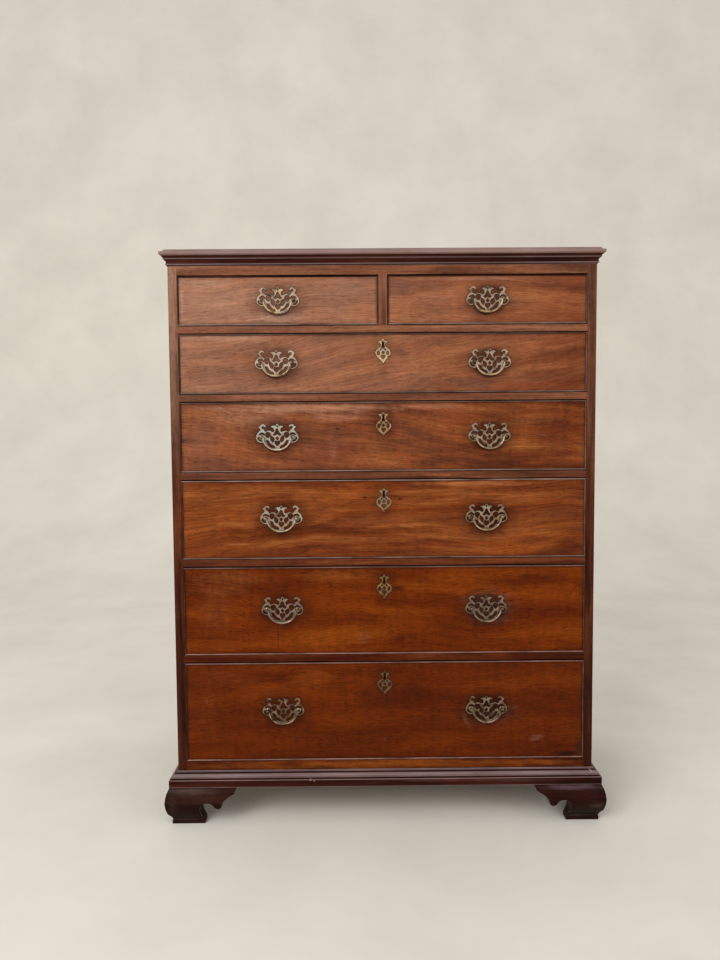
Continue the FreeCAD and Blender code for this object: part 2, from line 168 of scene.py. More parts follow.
def taken(*meshes, near=0.0):
    # meshes as one bmesh; points that lie that near to each other become one
    bm = bmesh.new()
    for mesh in meshes:
        bm.from_mesh(mesh)
    if near:
        bmesh.ops.remove_doubles(bm, verts=bm.verts[:], dist=near)
    return bm


def flattened(bm):
    # the triangles of each flat become one face
    bmesh.ops.dissolve_limit(bm, angle_limit=math.radians(1), verts=bm.verts[:], edges=bm.edges[:])


def asMesh(bm, name):
    bmesh.ops.recalc_face_normals(bm, faces=bm.faces[:])
    mesh = bpy.data.meshes.new(name)
    bm.to_mesh(mesh)
    bm.free()
    return mesh


def evaluated(obj):
    # what the modifiers make of obj, as a plain mesh; obj itself is then dropped
    mesh = bpy.data.meshes.new_from_object(obj.evaluated_get(bpy.context.evaluated_depsgraph_get()))
    bpy.data.objects.remove(obj)
    return mesh


def outlinePoints(path, arcSteps=6):
    # a start point, then (u, v) for a straight edge or (midU, midV, u, v) for an arc through its middle
    points = [complex(*path[0])]
    for step in path[1:]:
        start, middle, end = points[-1], complex(*step[:2]), complex(*step[-2:])
        if len(step) == 4:
            # with the start seen as 0 and the end as 1, the middle's place gives the centre
            seen = (middle - start) / (end - start)
            centre = start + (end - start) * (seen - abs(seen) ** 2) / (seen - seen.conjugate())
            halfTurn = cmath.phase((middle - centre) / (start - centre))
            points += [centre + (start - centre) * cmath.rect(1, 2 * halfTurn * k / arcSteps)
                       for k in range(1, arcSteps)]
        points.append(end)
    return [Vector((point.real, point.imag)) for point in points]


def ready(piece, body, slot, *replaced):
    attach(piece, body)
    if replaced:
        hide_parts(*replaced)


def softened(node, name, material, width, angle=40):
    # a copy of a solid's mesh with its flats made whole and its arrises eased takes its place; the line along
    # the middle of each eased arris is marked for wear and painted sheen
    bm = taken(cadNodes[node].data, near=0.01 * mm)
    flattened(bm)
    mesh = asMesh(bm, name)
    for attribute in [a.name for a in mesh.attributes if a.name == "custom_normal"]:
        mesh.attributes.remove(mesh.attributes[attribute])
    mesh.materials.append(material)
    mesh.materials.append(material)
    rough = linked(name + ".rough", mesh)
    bevel = rough.modifiers.new("easedArris", "BEVEL")
    bevel.width = width
    bevel.segments = 2
    bevel.limit_method = "ANGLE"
    bevel.angle_limit = math.radians(angle)
    bevel.material = 1
    mesh = evaluated(rough)
    flats = {index for polygon in mesh.polygons if polygon.material_index == 0 for index in polygon.vertices}
    mesh.attributes.new("worn", "FLOAT", "POINT").data.foreach_set(
        "value", [0.0 if k in flats else 1.0 for k in range(len(mesh.vertices))])
    ready(newPiece(name, mesh, material), "carcase", "mahogany", node)


# Mahogany, planed, scraped and wax polished: red-brown, with darker smoke and warmer glow drifting along the
# grain, short dark pores, a faint ripple across it, and a low gloss that two centuries have made uneven.
mahoganyLook = {
    "grain": "x", "seed": 0.0,
    "tilt": 0.0,            # degrees that the figure rises to the right
    "swirl": 34.0,          # millimetres that it wanders across the grain
    "figureLength": 360.0, "figureWidth": 30.0, "streakWidth": 2.4, "rippleStep": 13.0,
    "deep": "#5a2813", "mid": "#7a3f24", "pale": "#9a5b38",
    "low": None,            # (deep, mid, pale) near the floor, where the wood is toned darker
    "fade": (0.36, 1.27),   # heights between which low tones go over to the others
    "smokeTone": "#381509", "smoke": 0.5, "glowTone": "#a4571f", "glow": 0.3,
    "haze": "#c0957c",      # old wax bloom and bleaching, with painted sheen of light glancing off the polish
    "hazeLeft": 0.0, "hazeRight": 0.0,
    "hazeLow": 1.0,         # share of it that is left near the floor
    "hazeSpan": (0.45, 1.38),
    "streak": 0.38, "ribbon": 0.07,
    "pore": 0.36, "poreLength": 16.0,
    "poreWidth": 2.0,       # drawn about eight times as coarse as real pores, so that they show
    "worn": "#a58f88", "wornLeast": 0.15, "wornMost": 0.8,  # rubbed arrises, and painted sheen on rounded noses and bands
    "wearLength": 30.0,     # millimetres
    # dark tone of dirt in the pores, and of painted shade at edges, in gaps and round the brasses
    "grime": "#190a06",
    "grimeAmount": 0.0,     # dirt and painted shade towards the edge of a drawer front
    "grimeReach": (3.5 * mm, 10 * mm),
    "halo": 0.0,            # dark rings round the brasses: polish and dirt, with painted shade close round them
    "plateReach": (57 * mm, 40 * mm), "keyReach": (26 * mm, 40 * mm), "bowReach": (33 * mm, 33 * mm),
    "under": (0.25, 0.7),   # dirt and painted shade in the piercings of the left and the right plate, more on the right
    "knock": 0.85,          # painted shadow of each bow on the front below it, where the bow also knocks
    "knockSpan": (26 * mm, 12 * mm), "bowDrop": 2 * mm,     # below the bow's pins
    "hidden": None,         # half width within which wood behind the front face is near black: dirt and painted shade
    "gap": "#0c0503", "gapDepth": (0.8 * mm, 3 * mm), "innerDepth": (12 * mm, 40 * mm),
    "rough": (0.30, 0.48),  # waxed and rubbed patches, and dry ones
    "front": None,          # (middle x, half width, middle z, half height) of a drawer front
    "handle": None,         # (|x|, z) of the handles
    "key": None,            # z of the escutcheon
    "marks": (),            # stains, knots, bare patches, scratches and some painted light and shade: (x, z, half length, half height, degrees, tone, strength), in millimetres
                            # degrees, tone, strength), in millimetres
    "markDepth": 1.0,       # metres that they reach behind the front face
}


def edgeDistance(add, x, z, box):
    # metres to the nearest edge of a drawer front
    nearest = []
    for place, middle, half in ((x, box[0], box[1]), (z, box[2], box[3])):
        offset = add("Math", [place, middle], operation="SUBTRACT")
        away = add("Math", [offset], operation="ABSOLUTE")
        nearest.append(add("Math", [half, away], operation="SUBTRACT"))
    return add("Math", nearest, operation="MINIMUM")


def ringDistance(add, x, z, centreX, centreZ, radii):
    # 1 on an ellipse round a pair of places mirrored about the middle of the chest
    shape = add("CombineXYZ", {"X": add("Math", [x], operation="ABSOLUTE"), "Z": z})
    moved = add("VectorMath", [shape, (-centreX, 0, -centreZ)], operation="ADD")
    scaled = add("VectorMath", [moved, (1 / radii[0], 0, 1 / radii[1])], operation="MULTIPLY")
    return add("VectorMath", [scaled], operation="LENGTH").outputs["Value"]


def markAmount(add, place, fray, mark, depth):
    # an ellipse on the front face whose rim is frayed along the grain
    x, z, long, high, degrees, _, strength = mark
    spot = add("Mapping", {
        "Vector": place, "Location": (x * mm, face, z * mm), "Rotation": (0, -math.radians(degrees), 0),
        "Scale": (long * mm, depth, high * mm)}, vector_type="TEXTURE")
    away = add("VectorMath", [spot], operation="LENGTH").outputs["Value"]
    ragged = add("Math", [fray, 1.3, away], operation="MULTIPLY_ADD")
    return add("MapRange", [ragged, 0.85, 1.75, strength, 0.0], interpolation_type="SMOOTHSTEP")


def darkened(add, x, z, look):
    # masks of dirt and painted shade at a front's edges, round its brasses and behind its plates, and of the painted
    # shadow under its bows
    masks = []
    if look["front"]:
        masks.append(add("MapRange", [edgeDistance(add, x, z, look["front"]), *look["grimeReach"],
                                      look["grimeAmount"], 0.0]))
    if look["handle"]:
        middleX, middleZ = look["handle"]
        ring = ringDistance(add, x, z, middleX, middleZ, look["plateReach"])
        masks.append(add("MapRange", [ring, 0.75, 1.45, look["halo"], 0.0]))
        most = add("MapRange", [x, -0.2, 0.2, *look["under"]])
        within = add("MapRange", [ring, 0.75, 1.0, 1.0, 0.0])
        masks.append(add("Math", [most, within], operation="MULTIPLY"))
        ring = ringDistance(add, x, z, middleX, middleZ - look["bowDrop"], look["bowReach"])
        inside = add("MapRange", [ring, 0.9, 1.0, 0.0, look["knock"]])
        outside = add("MapRange", [ring, 1.02, 1.14, 1.0, 0.0])
        below = add("MapRange", [z, *[middleZ - drop for drop in look["knockSpan"]], 1.0, 0.0])
        arc = add("Math", [inside, outside], operation="MULTIPLY")
        masks.append(add("Math", [arc, below], operation="MULTIPLY"))
    if look["key"]:
        ring = ringDistance(add, x, z, 0.0, look["key"], look["keyReach"])
        masks.append(add("MapRange", [ring, 0.75, 1.5, 0.6 * look["halo"], 0.0]))
    return masks


def mahogany(name, **changes):
    look = {**mahoganyLook, **changes}
    material, add, place = newMaterial("polished_mahogany_" + name)
    axis, seed = look["grain"], look["seed"]
    x, y, z = add("SeparateXYZ", [place]).outputs

    # the grain lies a little askew and wanders in slow swirls
    turned = add("Mapping", {"Vector": place, "Rotation": (0, math.radians(look["tilt"]), 0)})
    drift = add("Mapping", {"Vector": place, "Location": (seed, seed, seed)})
    drift = add("TexNoise", {"Vector": drift, "Scale": 2.7, "Detail": 2.5}).outputs["Color"]
    wavy = add("VectorMath", [drift, sized(axis, 0.0, 2 * look["swirl"] * mm), turned],
               operation="MULTIPLY_ADD")

    figure = grainNoise(add, wavy, sized(axis, look["figureLength"], look["figureWidth"]), 4, 0.55, seed)
    colour = toneRamp(add, figure, (0.33, 0.5, 0.69), (look["deep"], look["mid"], look["pale"]))
    if look["low"]:
        lower = toneRamp(add, figure, (0.33, 0.5, 0.69), look["low"])
        colour = toned(add, lower, add("MapRange", [z, *look["fade"], 0.0, 1.0]), colour)
    for label, long, wide, shift in (("glow", 250, 52, 31), ("smoke", 210, 34, 21)):
        layer = grainNoise(add, wavy, sized(axis, long, wide), 3, 0.5, seed + shift)
        amount = add("MapRange", [layer, 0.50, 0.70, 0.0, look[label]])
        colour = toned(add, colour, amount, look[label + "Tone"])

    fray = grainNoise(add, wavy, sized(axis, 42, 9), 4, 0.6, seed + 13)
    for mark in look["marks"]:
        colour = toned(add, colour, markAmount(add, place, fray, mark, look["markDepth"]), mark[5])

    blotch = grainNoise(add, place, (150, 150, 80), 4, 0.6, seed + 11)
    # painted sheen of window light: paler to one side and towards the top, with old wax bloom and bleaching
    if look["hazeLeft"] or look["hazeRight"]:
        sideways = add("MapRange", [x, -0.5, 0.5, look["hazeLeft"], look["hazeRight"]])
        upward = add("MapRange", [z, *look["hazeSpan"], look["hazeLow"], 1.0])
        patchy = add("MapRange", [blotch, 0.3, 0.7, 0.7, 1.2])
        amount = add("Math", [sideways, upward], operation="MULTIPLY")
        amount = add("Math", [amount, patchy], operation="MULTIPLY")
        colour = toned(add, colour, amount, look["haze"])

    # the grain and its pores still show through the haze
    streaks = grainNoise(add, wavy, sized(axis, 170, look["streakWidth"]), 3, 0.6, seed + 3)
    ripple = grainNoise(add, turned, sized(axis, look["rippleStep"], 70), 2, 0.5, seed + 5)
    for layer, amount in ((streaks, look["streak"]), (ripple, look["ribbon"])):
        strong = add("MapRange", [layer, 0.30, 0.70, 0.1, 0.9])
        colour = toned(add, colour, amount, strong.outputs[0], "OVERLAY")
    pores = grainNoise(add, wavy, sized(axis, look["poreLength"], look["poreWidth"]), 1, 0.4, seed + 7)
    pores = add("MapRange", [pores, 0.56, 0.68, 0.0, look["pore"]])
    colour = toned(add, colour, pores, look["grime"])

    cloud = grainNoise(add, place, sized(axis, look["wearLength"], look["wearLength"] / 4 + 12), 4, 0.6, seed + 15)
    patchyDarkening = add("MapRange", [cloud, 0.3, 0.7, 0.5, 1.0])
    # dirt and painted shade, in patches: at the edges, round and behind the brasses, and the bows' painted shadows
    for mask in darkened(add, x, z, look):
        colour = toned(add, colour, add("Math", [mask, patchyDarkening], operation="MULTIPLY"), look["grime"])

    # rubbed arrises and painted sheen, where a piece carries how much of them each point has
    worn = add("Attribute", attribute_name="worn").outputs["Fac"]
    wearAndSheenPatches = add("MapRange", [cloud, 0.3, 0.7, look["wornLeast"], look["wornMost"]])
    colour = toned(add, colour, add("Math", [worn, wearAndSheenPatches], operation="MULTIPLY"), look["worn"])

    if look["hidden"]:
        # dirt and painted shade in the gaps round the drawers: near black just behind the front face, thinning out
        # further in
        gap = add("MapRange", [y, *[face + depth for depth in look["gapDepth"]], 0.0, 0.94])
        inner = add("MapRange", [y, *[face + depth for depth in look["innerDepth"]], 1.0, 0.35])
        across = add("Math", [x], operation="ABSOLUTE")
        within = add("Math", [across, look["hidden"]], operation="LESS_THAN")
        amount = add("Math", [gap, inner], operation="MULTIPLY")
        amount = add("Math", [amount, within], operation="MULTIPLY")
        colour = toned(add, colour, amount, look["gap"])

    swell = grainNoise(add, place, (70, 70, 45), 2, 0.5, seed + 17)
    uneven = add("Bump", {"Strength": 0.25, "Distance": 1.2 * mm, "Height": swell})
    fine = add("Math", [streaks, pores], operation="SUBTRACT")
    return shaded(material, {
        "Base Color": colour, "Roughness": add("MapRange", [blotch, 0.3, 0.7, *look["rough"]]),
        "Normal": add("Bump", {"Strength": 0.3, "Distance": 0.25 * mm, "Height": fine, "Normal": uneven}),
        "Specular IOR Level": 0.04, "Coat Weight": 0.02, "Coat Roughness": 0.22})  # the coat is its wax


# Oak and deal, sawn and planed but never polished: dry, matt, tan going grey-brown with dust and age.
plainWoodLook = {
    "grain": "y", "dark": "#6d4f33", "light": "#a58058", "dust": "#57483a", "knot": "#35200f", "seed": 0.0,
    "lateWood": 0.05,       # how much the yearly rings show
    "rings": 150.0,         # draws them about 7 mm apart on a flat sawn face
    "boards": None,         # (lowest z, height) of boards that each have their own figure
    "crossFrom": None,      # y from which the grain lies crosswise, as in the back of a drawer
}


def dryWood(name, **changes):
    look = {**plainWoodLook, **changes}
    material, add, place = newMaterial(name)
    seed = look["seed"]
    if look["boards"]:
        foot, height = look["boards"]
        rise = add("SeparateXYZ", [place]).outputs["Z"]
        share = add("Math", [rise, 1 / height, -foot / height], operation="MULTIPLY_ADD")
        number = add("Math", [share], operation="FLOOR")
        place = add("VectorMath", [number, (3.1, 0.0, 7.7), place], operation="MULTIPLY_ADD").outputs[0]
    if look["crossFrom"]:
        x, y, z = add("SeparateXYZ", [place]).outputs
        behind = add("Math", [y, look["crossFrom"]], operation="GREATER_THAN")
        place = add("Mix", {0: behind, 4: place, 5: add("CombineXYZ", [y, x, z])}, data_type="VECTOR").outputs[1]
    broad = grainNoise(add, place, sized(look["grain"], 800, 110), 2, 0.4, seed + 6)
    turns = add("Math", [broad, look["rings"]], operation="MULTIPLY")
    rings = add("Math", [add("Math", [turns], operation="SINE"), look["lateWood"],
                         grainNoise(add, place, sized(look["grain"], 600, 9), 4, 0.6, seed)],
                operation="MULTIPLY_ADD")
    colour = toneRamp(add, rings, (0.35, 0.66), (look["dark"], look["light"]))
    fibres = grainNoise(add, place, sized(look["grain"], 40, 1.6), 2, 0.6, seed + 2)
    fibreTone = add("MapRange", [fibres, 0.3, 0.7, 0.25, 0.75]).outputs[0]
    colour = toned(add, colour, 0.5, fibreTone, "OVERLAY")
    if look["boards"]:
        cells = add("Mapping", {"Vector": place, "Scale": (2.6, 1.0, 5.5)})
        # at most one knot in each cell of 385 by 182 mm
        knots = add("TexVoronoi", {"Vector": cells, "Scale": 1.0}).outputs["Distance"]
        colour = toned(add, colour, add("MapRange", [knots, 0.035, 0.075, 0.85, 0.0]), look["knot"])
        tint = add("TexWhiteNoise", {"W": number}, noise_dimensions="1D").outputs["Value"]
        colour = toned(add, colour, add("Math", [tint, 0.4], operation="MULTIPLY"), look["dust"])
    dirt = grainNoise(add, place, (90, 90, 90), 5, 0.65, seed + 4)
    colour = toned(add, colour, add("MapRange", [dirt, 0.42, 0.75, 0.0, 0.75]), look["dust"])
    relief = add("Bump", {"Strength": 0.5, "Distance": 0.3 * mm, "Height": fibres})
    return shaded(material, {"Base Color": colour, "Normal": relief, "Roughness": 0.72})


# Brass, cast and filed, long unpolished: a dull straw yellow that is rubbed bright in places, brown in
# its hollows, with green verdigris where damp has stood, and painted shade on the eased sides of a casting.
brassLook = {
    "bright": "#bfaa8e", "mid": "#8f7c64", "dull": "#4f3b29", "verdigris": "#9cb0a5",
    # sides: how far painted shade dulls the eased sides of a casting
    "gold": "#b08f58", "grey": "#8d8074", "green": 0.08, "seed": 0.0, "rough": 0.42, "sides": 0.75,
    "bleach": 0.0,          # how far it goes to the pale pink of worn old brass, with painted highlight
    "bleachTone": "#ddd0c4",
    "sideDepth": (1.5 * mm, 1.1 * mm),      # in front of the wood's face, where the lit crests and the painted-shade sides begin
}


def oldBrass(name, **changes):
    look = {**brassLook, **changes}
    material, add, place = newMaterial(name)
    seed = look["seed"]
    tarnish = grainNoise(add, place, (14, 14, 14), 3, 0.6, seed)
    colour = toneRamp(add, tarnish, (0.33, 0.45, 0.62), (look["dull"], look["mid"], look["bright"]))
    for shift, tone in ((12, look["gold"]), (15, look["grey"])):
        area = grainNoise(add, place, (30, 30, 30), 2, 0.5, seed + shift)
        colour = toned(add, colour, add("MapRange", [area, 0.5, 0.62, 0.0, 0.55]), tone)
    if look["bleach"]:
        colour = toned(add, colour, look["bleach"], look["bleachTone"])
    patches = grainNoise(add, place, (14, 14, 14), 5, 0.7, seed + 4)
    edge = 0.72 - 0.35 * look["green"]
    crust = add("MapRange", [patches, edge, edge + 0.08, 0.0, 1.0])
    # painted shade: the eased sides of the flat castings go dull brown, so that only their crests look lit
    depth = add("SeparateXYZ", [place]).outputs["Y"]
    sides = add("MapRange", [depth, *[face - ahead for ahead in look["sideDepth"]], 0.0, look["sides"]])
    colour = toned(add, toned(add, colour, sides, look["dull"]), crust, look["verdigris"])
    pits = grainNoise(add, place, (2.2, 2.2, 2.2), 3, 0.6, seed + 8)
    return shaded(material, {
        "Base Color": colour, "Metallic": add("MapRange", [crust, 0.0, 1.0, 1.0, 0.0]),
        "Roughness": add("MapRange", [tarnish, 0.3, 0.7, look["rough"] + 0.12, look["rough"] - 0.1]),
        "Normal": add("Bump", {"Strength": 0.35, "Distance": 0.25 * mm, "Height": pits})})


# Wrought iron, filed bright once and now brown-grey: a dark metal with soft patches of rust.
def oldIron(name):
    material, add, place = newMaterial(name)
    patches = grainNoise(add, place, (5, 5, 5), 5, 0.65)
    return shaded(material, {
        "Base Color": toneRamp(add, patches, (0.4, 0.65), ("#4a4643", "#5e4434")),
        "Metallic": add("MapRange", [patches, 0.45, 0.62, 1.0, 0.2]),
        "Roughness": add("MapRange", [patches, 0.3, 0.7, 0.35, 0.75]),
        "Normal": add("Bump", {"Strength": 0.4, "Distance": 0.2 * mm, "Height": patches})})


# Wax and brass polish that have dried along the edges of the castings, and the painted contact shadow round them:
# matt and nearly black.
def waxAndShadow(name):
    material, add, place = newMaterial(name)
    crumbs = grainNoise(add, place, (4, 4, 4), 3, 0.6)
    amount = add("MapRange", [crumbs, 0.35, 0.65, 0.0, 1.0])
    return shaded(material, {
        "Base Color": toned(add, "#120805", amount, "#2c1a10"), "Roughness": 0.85, "Specular IOR Level": 0.1,
        "Normal": add("Bump", {"Strength": 0.3, "Distance": 0.1 * mm, "Height": crumbs})})


room = {
    "paper": ("#f7f2e6", "#ece6da"),     # floor and wall
    "sky": "#e2dfd9",
    "skyStrength": 0.62,                 # what lights the chest
    "near": -16.0, "bend": 2.2, "curve": 1.6, "rise": 6.0, "half": 22.0,   # the sheet of paper, in metres
    "aim": (0, 0, 0.75),
    "lamps": {"keyWindow": ((-2.4, -3.4, 3.1), 2.6, 95.0), "fillWindow": ((3.2, -2.8, 1.6), 2.2, 22.0)},
    "cameraPlace": (-67.5 * mm, -2005.2 * mm, 957.9 * mm),
    "cameraTurn": (0.2973, 3.2534, 0.4201),  # degrees towards +X, down, and about its own axis
    "lens": 27.04,
}


def buildRoom():
    paper, add, place = newMaterial("matt_paper_backdrop")
    tone = add("MapRange", [grainNoise(add, place, (400, 400, 400), 4), 0.3, 0.7, 0.0, 1.0])
    shade = toned(add, room["paper"][0], tone, room["paper"][1])
    shaded(paper, {"Base Color": shade, "Roughness": 0.85, "Specular IOR Level": 0.2})
    # one sheet: flat underfoot, then a wide curve up behind
    bend, curve = room["bend"], room["curve"]
    section = [(room["near"], 0.0), (bend, 0.0)]
    section += [(bend + curve * math.sin(a), curve - curve * math.cos(a))
                for a in (math.radians(9 * k) for k in range(1, 11))]
    section.append((bend + curve, room["rise"]))
    rings = [[(x, y, z) for y, z in section] for x in (-room["half"], room["half"])]
    newPiece("floor_and_backdrop", asMesh(meshFrom(rings, closed=False), "floor"), paper)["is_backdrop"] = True

    world = bpy.data.worlds.new("studio")
    bpy.context.scene.world = world
    world.use_nodes = True
    world.node_tree.nodes.clear()
    add = partial(addNode, world.node_tree)
    ray = add("LightPath").outputs
    # the camera and what mirrors see a plain sky; what lights the chest is dimmer
    reflected = add("Math", [ray["Is Glossy Ray"], ray["Is Transmission Ray"]], operation="MAXIMUM")
    shown = add("Math", [reflected, ray["Is Camera Ray"]], operation="MAXIMUM")
    lit = add("Background", [linear("#ffffff"), room["skyStrength"]])
    seen = add("Background", [linear(room["sky"]), 1.0])
    add("OutputWorld", [add("MixShader", [shown, lit, seen])])

    for name, (place, size, watts) in room["lamps"].items():
        lamp = bpy.data.lights.new(name, "AREA")
        lamp.shape = "SQUARE"
        lamp.size = size
        lamp.energy = watts
        holder = linked(name, lamp)
        holder.location = place
        holder.rotation_euler = (Vector(room["aim"]) - Vector(place)).to_track_quat("-Z", "Y").to_euler()

    yaw, pitch, roll = (math.radians(turn) for turn in room["cameraTurn"])
    ahead = Vector((math.sin(yaw) * math.cos(pitch), math.cos(yaw) * math.cos(pitch), -math.sin(pitch)))
    level = Vector((math.cos(yaw), -math.sin(yaw), 0))
    down = ahead.cross(level)
    across = math.cos(roll) * level + math.sin(roll) * down
    up = math.sin(roll) * level - math.cos(roll) * down
    lens = bpy.data.cameras.new("camera")
    lens.lens = room["lens"]
    lens.sensor_width = 36.0
    camera = linked("camera", lens)
    turn = Matrix((across, up, -ahead)).transposed().to_4x4()
    camera.matrix_world = Matrix.Translation(room["cameraPlace"]) @ turn
    bpy.context.scene.camera = camera
    bpy.context.scene.view_settings.view_transform = "Standard"


buildRoom()
print("room, lights and camera are up")

# the case is toned paler at the top, and darker and redder below
caseLook = {
    "smokeTone": "#2c0e07", "glowTone": "#8f4a22", "hazeLow": 0.0, "hidden": 0.505, "figureWidth": 16.0,
    "swirl": 12.0, "worn": "#8a6a58", "wornMost": 0.45, "wearLength": 120.0}
caseMarks = [
    (-503, 1130, 3, 70, 0, "#1c0c07", 0.85), (-503, 1290, 2, 60, 0, "#2a140c", 0.7),
    (-513, 1090, 7, 130, 0, "#86552a", 0.5), (-519.5, 960, 2, 160, 0, "#1d0d08", 0.7),
    (-512, 760, 4, 60, 0, "#6d3a1d", 0.45), (-505, 690, 3, 40, 0, "#7c4f3b", 0.4),
    (508, 980, 5, 60, 0, "#6b3a1e", 0.4), (512, 955, 3, 8, 0, "#20110c", 0.6)]
caseAlongZ = mahogany(
    "case_sides", grain="z", seed=2.0, **caseLook, deep="#502c1c", mid="#673c27", pale="#845539",
    low=("#2c110a", "#441e10", "#5b2c17"), fade=(0.7, 1.38), hazeLeft=0.45, hazeRight=0.08, hazeSpan=(0.85, 1.36),
    markDepth=0.012, marks=caseMarks)
railLook = {**caseLook, "deep": "#6f412c", "mid": "#85523a", "pale": "#9a6749",
            "low": ("#3e1206", "#54200a", "#6e3412"), "fade": (0.56, 1.27)}
railMarks = [
    (0, 142, 540, 14, 0, "#8a4514", 0.8), (-330, 1223, 60, 7, 0, "#5d3526", 0.6),
    (300, 652, 120, 5, 0, "#7a3a16", 0.5), (140, 869, 70, 5, 0, "#9a5a34", 0.5),
    (-40, 653, 60, 5, 4, "#8d4c1f", 0.5), (-470, 865, 80, 14, 0, "#3d2018", 0.6),
    (-290, 1061, 170, 12, 0, "#9d6346", 0.55), (-480, 1061, 40, 12, 0, "#5a3d2c", 0.6),
    (430, 1385, 130, 20, 0, "#5d3426", 0.5), (450, 416, 80, 10, 0, "#2e0f07", 0.5),
    (-235, 143, 55, 9, 0, "#4c1b04", 0.8), (180, 141, 120, 7, -2, "#5a290c", 0.45),
    (400, 142, 60, 8, 0, "#a05a1d", 0.35)]
railWood = mahogany("rails", seed=5.0, **railLook, hazeLeft=0.07, marks=railMarks)
dividerWood = mahogany("divider", grain="z", seed=6.0, **{
    **railLook, "deep": "#6b4030", "mid": "#80503d", "pale": "#96644b"})
# dark mouldings and feet whose pale tone on their rounds is wear and a painted reflection of the sky
darkLook = {
    "deep": "#200a06", "mid": "#35140c", "pale": "#4c241a", "smokeTone": "#150604", "glowTone": "#5a2615",
    "streak": 0.3, "swirl": 8.0, "ribbon": 0.05, "worn": "#9c8684", "wornLeast": 0.45, "wornMost": 1.0,
    "wearLength": 160.0, "rough": (0.26, 0.4)}
mouldingMarks = [
    (-187, 111, 5, 2.6, 0, "#c8909a", 0.8), (-178, 109, 2.4, 2, 0, "#e0cfd2", 0.7),
    (515, 124, 7, 1.4, -40, "#c9bdba", 0.7), (120, 108, 150, 4, 0, "#6e4c48", 0.35),
    (-420, 112, 100, 5, 0, "#5a2216", 0.4), (330, 106, 110, 4, 0, "#5a4642", 0.4)]
mouldingAlongX = mahogany("moulding_front", seed=8.0, **darkLook, marks=mouldingMarks)
mouldingAlongY = mahogany("moulding_ends", grain="y", seed=9.0, **darkLook)
# on the feet, the pale bands along the top are bloom and a painted reflection where the bulge faces up; the dark
# patches lower down are rubbed dirt
footMarks = [
    (-480, 86, 80, 9, 0, "#54423a", 0.65), (-530, 60, 14, 44, 0, "#34251c", 0.6),
    (-500, 14, 45, 16, 0, "#2f2118", 0.7), (-440, 66, 40, 12, 0, "#34201a", 0.5),
    (465, 88, 90, 8, 0, "#5d464c", 0.75), (500, 70, 60, 18, 0, "#3c1713", 0.6),
    (490, 26, 60, 26, 8, "#241d15", 0.8), (525, 44, 24, 8, 8, "#4a4136", 0.5),
    (-410, 40, 10, 16, 0, "#4c3a30", 0.4)]
footWood = mahogany("feet", seed=12.0, **{
    **darkLook, "deep": "#150805", "mid": "#25100a", "pale": "#3a2018", "glow": 0.1, "wornLeast": 0.0,
    "wornMost": 0.75, "wearLength": 26.0, "marks": footMarks})
topWood = mahogany(
    "top", seed=16.0, deep="#3a1a10", mid="#55291b", pale="#70402c", hazeLeft=0.25, hazeRight=0.2,
    rough=(0.24, 0.42), worn="#9a8380", wornLeast=0.5, wornMost=1.0, wearLength=160.0)
oak = dryWood("dry_oak_drawer_linings", seed=1.0, crossFrom=222.4 * mm)
deal = dryWood("dry_deal_carcase", grain="x", seed=4.0, dark="#5b4632", light="#8c7152", lateWood=0.1)
iron = oldIron("filed_iron_bolts")


def dressNode(node, material):
    node.data.materials.clear()
    node.data.materials.append(material)


for name in ("case_side_left", "case_side_right"):
    softened(name, name + "_board", caseAlongZ, 0.8 * mm)
softened("drawer_rails", "rails", railWood, 0.4 * mm)
softened("top_divider", "divider", dividerWood, 0.4 * mm)
for name, node in cadNodes.items():
    if name in ("case_bottom", "dust_boards", "runners_and_stops"):
        dressNode(node, deal)
    elif name.endswith("_box"):
        dressNode(node, oak)
    elif name.startswith("lock_bolt"):
        dressNode(node, iron)
print("case is dressed")


def stuckRings(start, along, outward, upward, length, profile, ends, step, dent, bumps=45, seed=0):
    # sections of a moulding with its profile of (p, h, wear and sheen): ends say how far a point that stands out by
    # p reaches past the corner, in shares of p (1 for an outer mitre, 0 for a square end); points with wear and
    # sheen are dented
    start, along, outward, upward = (Vector(v) for v in (start, along, outward, upward))
    count = max(1, round(length / step))
    rings = []
    for k in range(count + 1):
        ring = []
        for p, h, worn in profile:
            first = -ends[0] * p
            reach = first + (length + ends[1] * p - first) * k / count
            point = start + along * reach + outward * p + upward * h
            push = noise.noise(point * bumps + Vector((seed, 0, 0))) * dent * worn
            ring.append(point + outward * push if 0 < k < count else point)
        rings.append(ring)
    return rings


def skinWithWearAndSheen(rings, profile, closed=True):
    # a skin that carries how much wear and painted sheen each point of the profile has
    bm = meshFrom(rings, closed)
    layer = bm.verts.layers.float.new("worn")
    for k, vert in enumerate(bm.verts):
        vert[layer] = profile[k % len(profile)][2]
    return bm


def mitredLength(start, along, outward, upward, length, profile, ends, step, dent, seed):
    rings = stuckRings(start, along, outward, upward, length, profile, ends, step, dent, seed=seed)
    return asMesh(skinWithWearAndSheen(rings, profile), "length")


def mouldingProfile(path, bands=()):
    # millimetres to metres; a point is worn where the outline turns outwards, and painted pale in bands (from, to,
    # amount) of its height, a highlight where the polish catches the light; points just beside each arris keep that
    # wear to a thin line
    points = outlinePoints(path)
    marked = []
    for k, point in enumerate(points):
        before, after = points[k - 1], points[(k + 1) % len(points)]
        one, two = (point - before).normalized(), (after - point).normalized()
        turn = one.x * two.y - one.y * two.x
        marked.append((point, max(0.0, min(1.0, turn * 1.6)) if point.x > 0 else 0.0))
        if (after - point).length > 2.2 and after is not points[0]:
            marked += [(point + two * 0.7, 0.0), (after - two * 0.7, 0.0)]
    profile = []
    for point, worn in marked:
        amounts = [amount for low, high, amount in bands if low <= point.y <= high and point.x > 0]
        profile.append((point.x * mm, -point.y * mm, max([worn, *amounts])))
    return profile


